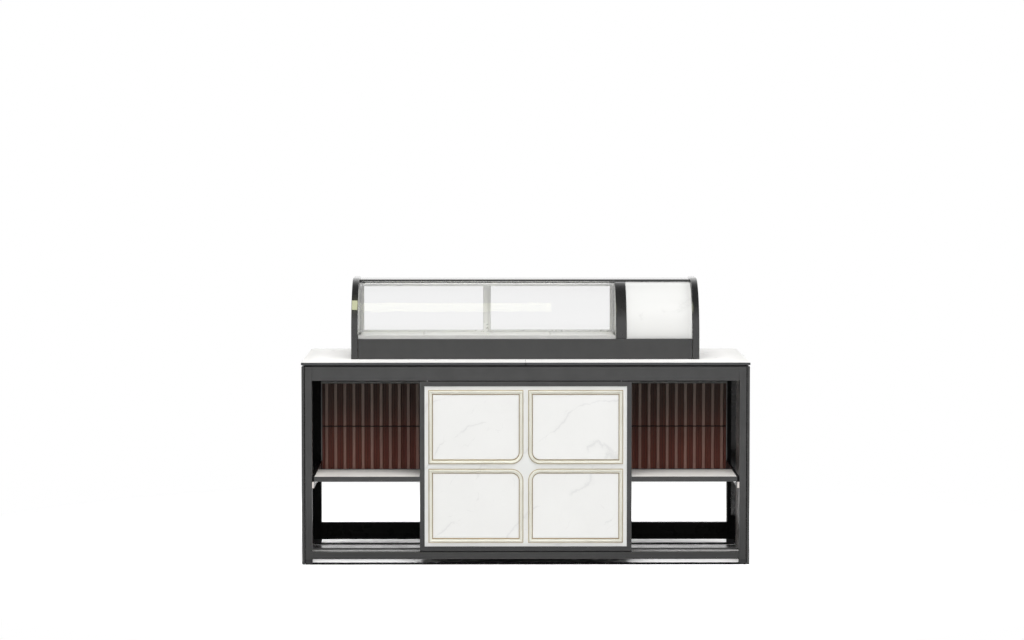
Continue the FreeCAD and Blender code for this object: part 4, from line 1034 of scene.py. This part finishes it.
louvreStyle = {"count": 11, "lean": math.radians(38),
               **sizes(left=572.5, right=739.0, bottom=1041.25, lift=3.5, setBack=3.4, pitch=15.0, height=8.0,
                       thick=1.0)}
grilleLow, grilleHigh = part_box("rear_grille")
bladeStart = (middle(louvreStyle["left"], louvreStyle["right"]), grilleLow.y - louvreStyle["setBack"],
              louvreStyle["bottom"] + louvreStyle["lift"])
blade = (louvreStyle["right"] - louvreStyle["left"], louvreStyle["thick"], louvreStyle["height"])
blade = Vector(blade) / 2
louvres = toObject("louvreBlades", skinned(block(-blade, blade)), paint["case"])
grow(louvres, spread, {"Count": louvreStyle["count"], "Start": bladeStart, "Material": paint["case"],
                       "Step": (0.0, 0.0, louvreStyle["pitch"]),
                       "First turn": (louvreStyle["lean"], 0.0, 0.0)})
settle(louvres, "station")

knobLow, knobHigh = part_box("thermostat_knob")
knobX, knobZ = middle(knobLow.x, knobHigh.x), middle(knobLow.z, knobHigh.z)
dialStyle = {"ticks": 10, "sweep": math.radians(270), **sizes(radius=20.5, length=3.2, width=0.8, rise=0.25)}
dialCentre = (knobX, grilleHigh.y + dialStyle["rise"] / 2, knobZ)
tick = Vector((dialStyle["width"], dialStyle["rise"], dialStyle["length"])) / 2
reach = Vector((0.0, 0.0, dialStyle["radius"]))
tickTurn = dialStyle["sweep"] / (dialStyle["ticks"] - 1)
ticks = toObject("dialTicks", skinned(block(reach - tick, reach + tick)), plastic["mark"])
grow(ticks, spread, {"Count": dialStyle["ticks"], "Start": dialCentre, "Material": plastic["mark"],
                     "First turn": (0.0, -dialStyle["sweep"] / 2, 0.0), "Turn": (0.0, tickTurn, 0.0)})
settle(ticks, "station")

knobStyle = {
    "ribs": 30, "ribShare": 0.965, "gripShare": 0.9,
    # (share of the full size, distance from the back) of the ribbed skirt and of the grip on it
    "skirt": [(0.97, 0.0), (1.0, 0.4), (1.0, 5.6), (0.95, 6.6), (0.88, 7.0)],
    "grip": [(1.0, 6.9), (0.96, 13.2), (0.86, 14.0)],
    **sizes(radius=17.0, gripWidth=7.0, depth=14.0, stemRadius=3.0),
}
knobY = knobHigh.y - knobStyle["depth"]
skirt = []
for share, along in knobStyle["skirt"]:
    ring = []
    for k, a in enumerate(circle(knobStyle["ribs"] * 4)):
        r = knobStyle["radius"] * share * (1.0 if k % 4 < 2 else knobStyle["ribShare"])
        ring.append(Vector((knobX + r * math.sin(a), knobY + along * mm, knobZ + r * math.cos(a))))
    skirt.append(ring)
grip = knobStyle["gripWidth"] / 2
reach = knobStyle["radius"] * knobStyle["gripShare"]
bar = [(-grip, -reach + grip), (-grip * 0.5, -reach), (grip * 0.5, -reach), (grip, -reach + grip),
       (grip, reach - grip), (grip * 0.5, reach), (-grip * 0.5, reach), (-grip, reach - grip)]
handle = [[Vector((knobX + x * share, knobY + along * mm, knobZ + z * share)) for x, z in bar]
          for share, along in knobStyle["grip"]]
stem = [(knobStyle["stemRadius"], 0.0), (knobStyle["stemRadius"], knobY - knobLow.y)]
stem = turned(stem, (knobX, knobLow.y, knobZ), rearAxis, steps=24)
hand("thermostat_knob", plastic["black"], [skirt, handle, stem], body="thermostat")

pointerStyle = sizes(halfWidth=0.6, rise=0.35, start=2.0, end=12.5)
halfWidth = pointerStyle["halfWidth"]
pointerLow = (knobX - halfWidth, knobHigh.y - pointerStyle["rise"], knobZ + pointerStyle["start"])
pointerHigh = (knobX + halfWidth, knobHigh.y, knobZ + pointerStyle["end"])
hand("knobPointer", plastic["mark"], [block(pointerLow, pointerHigh)], edge=0.12, body="thermostat")

# bezel round the rocker
bezelStyle = sizes(middle=1131.5, halfWidth=10.2, halfHeight=18.2, rise=1.4, width=2.4)
bezelLow = (knobX - bezelStyle["halfWidth"], bezelStyle["middle"] - bezelStyle["halfHeight"])
bezelHigh = (knobX + bezelStyle["halfWidth"], bezelStyle["middle"] + bezelStyle["halfHeight"])
bezel = ringBead(bezelLow, bezelHigh, grilleHigh.y, grilleHigh.y + bezelStyle["rise"], bezelStyle["width"])
hand("switchBezel", plastic["black"], bezel, edge=0.4)

# fan: one twisted blade, set round the hub
fanStyle = {"blades": 5, "steps": 8, "pitch": 34.0, "twist": 14.0,
            **sizes(root=18.0, tip=73.0, thick=1.6, chord=24.0, halfDepth=7.9),
            # (share of the chord, share of the thickness) round the blade
            "section": [(-0.5, 0.0), (-0.25, 0.42), (0.15, 0.5), (0.5, 0.0), (0.15, -0.3), (-0.25, -0.2)]}
hubStyle = sizes(radius=20.0, depth=16.0, shaft=3.0, rearEdge=1.0, frontEdge=3.0)
fanLow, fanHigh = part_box("fan_blades")
fanX, fanZ = middle(fanLow.x, fanHigh.x), middle(fanLow.z, fanHigh.z)
hubRear = fanHigh.y - hubStyle["depth"]
rings = []
for k in range(fanStyle["steps"] + 1):
    share = k / fanStyle["steps"]
    radius = fanStyle["root"] + (fanStyle["tip"] - fanStyle["root"]) * share
    angle = math.radians(fanStyle["pitch"] - fanStyle["twist"] * share)
    chord = fanStyle["chord"] * (0.75 + 0.35 * math.sin(math.pi * (0.2 + 0.6 * share)))  # widest half way out
    ring = []
    for u, v in fanStyle["section"]:
        along, lift = u * chord, v * fanStyle["thick"]
        y = along * math.sin(angle) + lift * math.cos(angle)
        z = along * math.cos(angle) - lift * math.sin(angle)
        y = max(-fanStyle["halfDepth"], min(fanStyle["halfDepth"], y))
        ring.append(Vector((math.sqrt(max(radius * radius - z * z, 1e-8)), y, z)))
    rings.append(ring)
fan = toObject("fanBlades", skinned(rings), plastic["black"])
grow(fan, spread, {"Count": fanStyle["blades"], "Start": (fanX, middle(fanHigh.y, hubRear), fanZ),
                   "Turn": (0.0, 2 * math.pi / fanStyle["blades"], 0.0),
                   "Material": plastic["black"]}, angle=40)
settle(fan, "fan", "fan_blades")

hub, shaft = hubStyle["radius"], hubStyle["shaft"]
rearEdge, frontEdge = hubStyle["rearEdge"], hubStyle["frontEdge"]
rear, front = hubRear - fanLow.y, fanHigh.y - fanLow.y
hubProfile = [(shaft, 0.0), (shaft, rear), (hub - rearEdge, rear), (hub, rear + rearEdge),
              (hub, front - frontEdge), (hub - frontEdge, front)]
hand("fanHub", plastic["black"], [turned(hubProfile, (fanX, fanLow.y, fanZ), rearAxis)], body="fan")

# drain spigot with hose barbs
spigotStyle = {"barbs": 4, "barbPitch": 4.5,
               # (radius, distance out) of the flange before the barbs and of the tip and bore after them
               "flange": [(14, 0), (14, 2.4), (13.4, 3), (8, 3), (8, 6)], "barb": [(7.3, 7), (8, 10.8)],
               "tip": [(7.4, 25.2), (7.0, 26), (5.5, 26), (5.5, 0)]}
low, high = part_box("drain_spigot")
spigot = list(spigotStyle["flange"])
for k in range(spigotStyle["barbs"]):
    spigot += [(r, t + spigotStyle["barbPitch"] * k) for r, t in spigotStyle["barb"]]
spigot += spigotStyle["tip"]
spigot = [(r * mm, t * mm) for r, t in spigot]
spigot = turned(spigot, (middle(low.x, high.x), low.y, middle(low.z, high.z)), rearAxis)
hand("drain_spigot", metal["bright"], [spigot])

# screws: a pan head with a cross recess, set on points
screwStyle = {"seed": 11, "steps": 24, "turn": 3.0, "crossArm": 0.16, "crossReach": 0.62, "crossTaper": 0.8,
              "crossFloor": 0.45, "dome": [(1.0, 0.0), (1.0, 0.35), (0.93, 0.65), (0.8, 0.88)],
              **sizes(radius=4.0, rise=2.0)}


def screwHead(radius, rise):
    steps = screwStyle["steps"]
    arm, reach = screwStyle["crossArm"] * radius, screwStyle["crossReach"] * radius
    cross = [(arm, arm), (arm, reach), (-arm, reach), (-arm, arm), (-reach, arm), (-reach, -arm),
             (-arm, -arm), (-arm, -reach), (arm, -reach), (arm, -arm), (reach, -arm), (reach, arm)]
    angles = circle(steps, 1.5)  # a point of the rim lies level with each corner of the cross
    rings = [[Vector((radius * s * math.cos(a), radius * s * math.sin(a), rise * t)) for a in angles]
             for s, t in screwStyle["dome"]]
    bm = bmesh.new()
    last = loft(bm, rings, capped=False)[-1]
    crown = [bm.verts.new((x, y, rise)) for x, y in cross]
    taper, depth = screwStyle["crossTaper"], rise * screwStyle["crossFloor"]
    floor = [bm.verts.new((x * taper, y * taper, depth)) for x, y in cross]
    for k in range(len(cross)):
        n = (k + 1) % len(cross)
        bm.faces.new((last[2 * k], last[2 * k + 1], last[(2 * k + 2) % steps], crown[n], crown[k]))
        bm.faces.new((crown[k], crown[n], floor[n], floor[k]))
    bm.faces.new(floor)
    return outward(bm)


def screwTree():
    given = startTree("screwSet", Object=["Head"], Float=["Tilt"], Int=["Seed"])
    head = addNode("GeometryNodeObjectInfo", {"Object": given["Head"]}).outputs["Geometry"]
    spin = addNode("FunctionNodeRandomValue", {2: 0.0, 3: screwStyle["turn"], "Seed": given["Seed"]},
                   data_type="FLOAT").outputs[1]
    tilt = vector(X=given["Tilt"])
    placed = form("InstanceOnPoints", {"Points": given["Geometry"], "Instance": head, "Rotation": tilt})
    return endTree(given, form("RotateInstances", {"Instances": placed, "Rotation": vector(Z=spin)}))


screws = screwTree()


def screwSet(name, points, style, body, *cadNodes):
    head = toObject(name + "Head", screwHead(style["radius"], style["rise"]))
    obj = pointsObject(name, points)
    grow(obj, screws, {"Head": head, "Tilt": math.radians(-90), "Seed": screwStyle["seed"],
                       "Material": metal["bright"]}, angle=30)
    bpy.data.objects.remove(head)
    settle(obj, body, *cadNodes)


low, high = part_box("grille_screws")
edge = screwStyle["radius"]
screwSet("grilleScrews", [(x, low.y, z) for x in (low.x + edge, high.x - edge)
                          for z in (low.z + edge, middle(low.z, high.z), high.z - edge)],
         screwStyle, "station", "grille_screws")

hingeStyle = sizes(leafHeight=60.0, leafThick=2.0, firstScrew=8.0, lastScrew=52.0, inset=6.0,
                   radius=2.8, rise=1.0)
hingeLow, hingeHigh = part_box("cabinet_hinges")
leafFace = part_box("door_hinge_leaves_right")[0].y + hingeStyle["leafThick"]
hingeRows = [z + hingeStyle[screw] for z in (hingeLow.z, hingeHigh.z - hingeStyle["leafHeight"])
             for screw in ("firstScrew", "lastScrew")]
screwX = hingeHigh.x - hingeStyle["inset"]
screwSet("hingeScrews", [(x, leafFace, z) for x in (-screwX, screwX) for z in hingeRows],
         hingeStyle, "station")
for side in ("left", "right"):
    low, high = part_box("door_hinge_leaves_" + side)
    x = high.x - hingeStyle["inset"] if side == "left" else low.x + hingeStyle["inset"]
    screwSet("doorHingeScrews" + side.capitalize(), [(x, leafFace, z) for z in hingeRows], hingeStyle,
             "cabinet_door_" + side)
print("machine bay and fasteners done")

# floor, light and camera
studio = {"floorSize": 60.0, "fadeStart": 1.3, "fadeEnd": 3.0, "floorSeen": 1.7, "floorGrey": 236,
          "worldDiffuse": 0.11, "worldGlossy": 1.0, "worldZenith": 0.1, "skyStart": 0.45, "skyEnd": 0.97}
white = (1, 1, 1, 1)


def paleFloor():
    mesh = bpy.data.meshes.new("floor")
    half = studio["floorSize"] / 2
    corners = [(-half, -half, 0), (half, -half, 0), (half, half, 0), (-half, half, 0)]
    mesh.from_pydata(corners, [], [(0, 1, 2, 3)])
    floor = bpy.data.objects.new("floor", mesh)
    scene.collection.objects.link(floor)
    material = bpy.data.materials.new("paleFloor")
    material.use_nodes = True
    tree = material.node_tree
    work["tree"] = tree
    tree.nodes.remove(tree.nodes["Principled BSDF"])
    place = shade("TexCoord")["Object"]
    distance = shade("VectorMath", {0: place}, operation="LENGTH")["Value"]
    far = remap(distance, studio["fadeStart"], studio["fadeEnd"])
    rays = shade("LightPath")
    seen = plus(rays["Is Camera Ray"], rays["Is Glossy Ray"])
    seen = plus(seen, rays["Is Transmission Ray"], True)
    shown = [studio["floorSeen"]] * 3 + [1.0]
    pale = mixColour(seen, grey(studio["floorGrey"]), shown)  # lit floor reads as white, deep shade stays
    matt = shade("BsdfDiffuse", {"Color": pale})[0]
    glow = shade("Emission", {"Color": white, "Strength": 1.0})[0]
    mixed = shade("MixShader", {0: times(seen, far), 1: matt, 2: glow})[0]
    feed(tree.nodes["Material Output"], {"Surface": mixed})
    mesh.materials.append(material)


def whiteWorld():
    world = bpy.data.worlds.new("studioWorld")
    scene.world = world
    world.use_nodes = True
    tree = world.node_tree
    work["tree"] = tree
    rays = shade("LightPath")
    seen = plus(rays["Is Camera Ray"], rays["Is Transmission Ray"], True)
    height = axes(shade("TexCoord")["Generated"])["Z"]
    mirrored = remap(height, studio["skyStart"], studio["skyEnd"], studio["worldGlossy"],
                     studio["worldZenith"])
    level = shade("Mix", {0: rays["Is Glossy Ray"], 2: studio["worldDiffuse"], 3: mirrored})[0]
    level = shade("Mix", {0: seen, 2: level, 3: 1.0})[0]
    feed(tree.nodes["Background"], {"Color": white, "Strength": level})


def softLamp(name, place, target, size, watts, colour=(1, 1, 1), shiny=False):
    light = bpy.data.lights.new(name, "AREA")
    light.shape = "RECTANGLE"
    light.size, light.size_y = size
    light.energy = watts
    light.color = colour
    lamp = bpy.data.objects.new(name, light)
    scene.collection.objects.link(lamp)
    lamp.location = place
    lamp.rotation_euler = (Vector(target) - Vector(place)).to_track_quat("-Z", "Y").to_euler()
    lamp.visible_glossy = shiny
    lamp.visible_diffuse = not shiny
    lamp.visible_camera = False
    lamp.visible_transmission = False


paleFloor()
whiteWorld()
lamps = {
    "frontSoftbox": {"place": (0.2, -3.4, 5.6), "target": (0, 0, 0.7), "size": (4.5, 3.0), "watts": 262},
    "lowFill": {"place": (0.0, -6.0, 2.9), "target": (0, 0, 0.5), "size": (4.0, 1.6), "watts": 70},
    "leftFill": {"place": (-3.2, -0.3, 2.6), "target": (-0.9, 0, 0.9), "size": (1.6, 1.6), "watts": 49},
    "rightFill": {"place": (3.2, -0.3, 2.6), "target": (0.9, 0, 0.9), "size": (1.6, 1.6), "watts": 50},
    "rearSoftbox": {"place": (-0.8, 4.5, 3.6), "target": (0, 0, 0.7), "size": (4.0, 2.4), "watts": 60},
    "mirroredPanel": {"place": (-0.62, -1.03, 2.95), "target": (-0.62, -0.2, 1.13), "size": (1.55, 0.81),
                      "watts": 37, "colour": (0.97, 1, 0.64), "shiny": True},
}
for name, lamp in lamps.items():
    softLamp(name, **lamp)

cameraStyle = {"place": (-0.1531, -15.4277, 2.009), "down": 3.493, "right": 0.351, "lens": 118.7,
               "sensor": 36.0}
camera = bpy.data.objects.new("camera", bpy.data.cameras.new("camera"))
scene.collection.objects.link(camera)
camera.location = cameraStyle["place"]
camera.rotation_euler = (math.radians(90 - cameraStyle["down"]), 0, math.radians(-cameraStyle["right"]))
camera.data.lens = cameraStyle["lens"]
camera.data.sensor_width = cameraStyle["sensor"]
scene.camera = camera
scene.view_settings.view_transform = "Standard"
print("stage set")
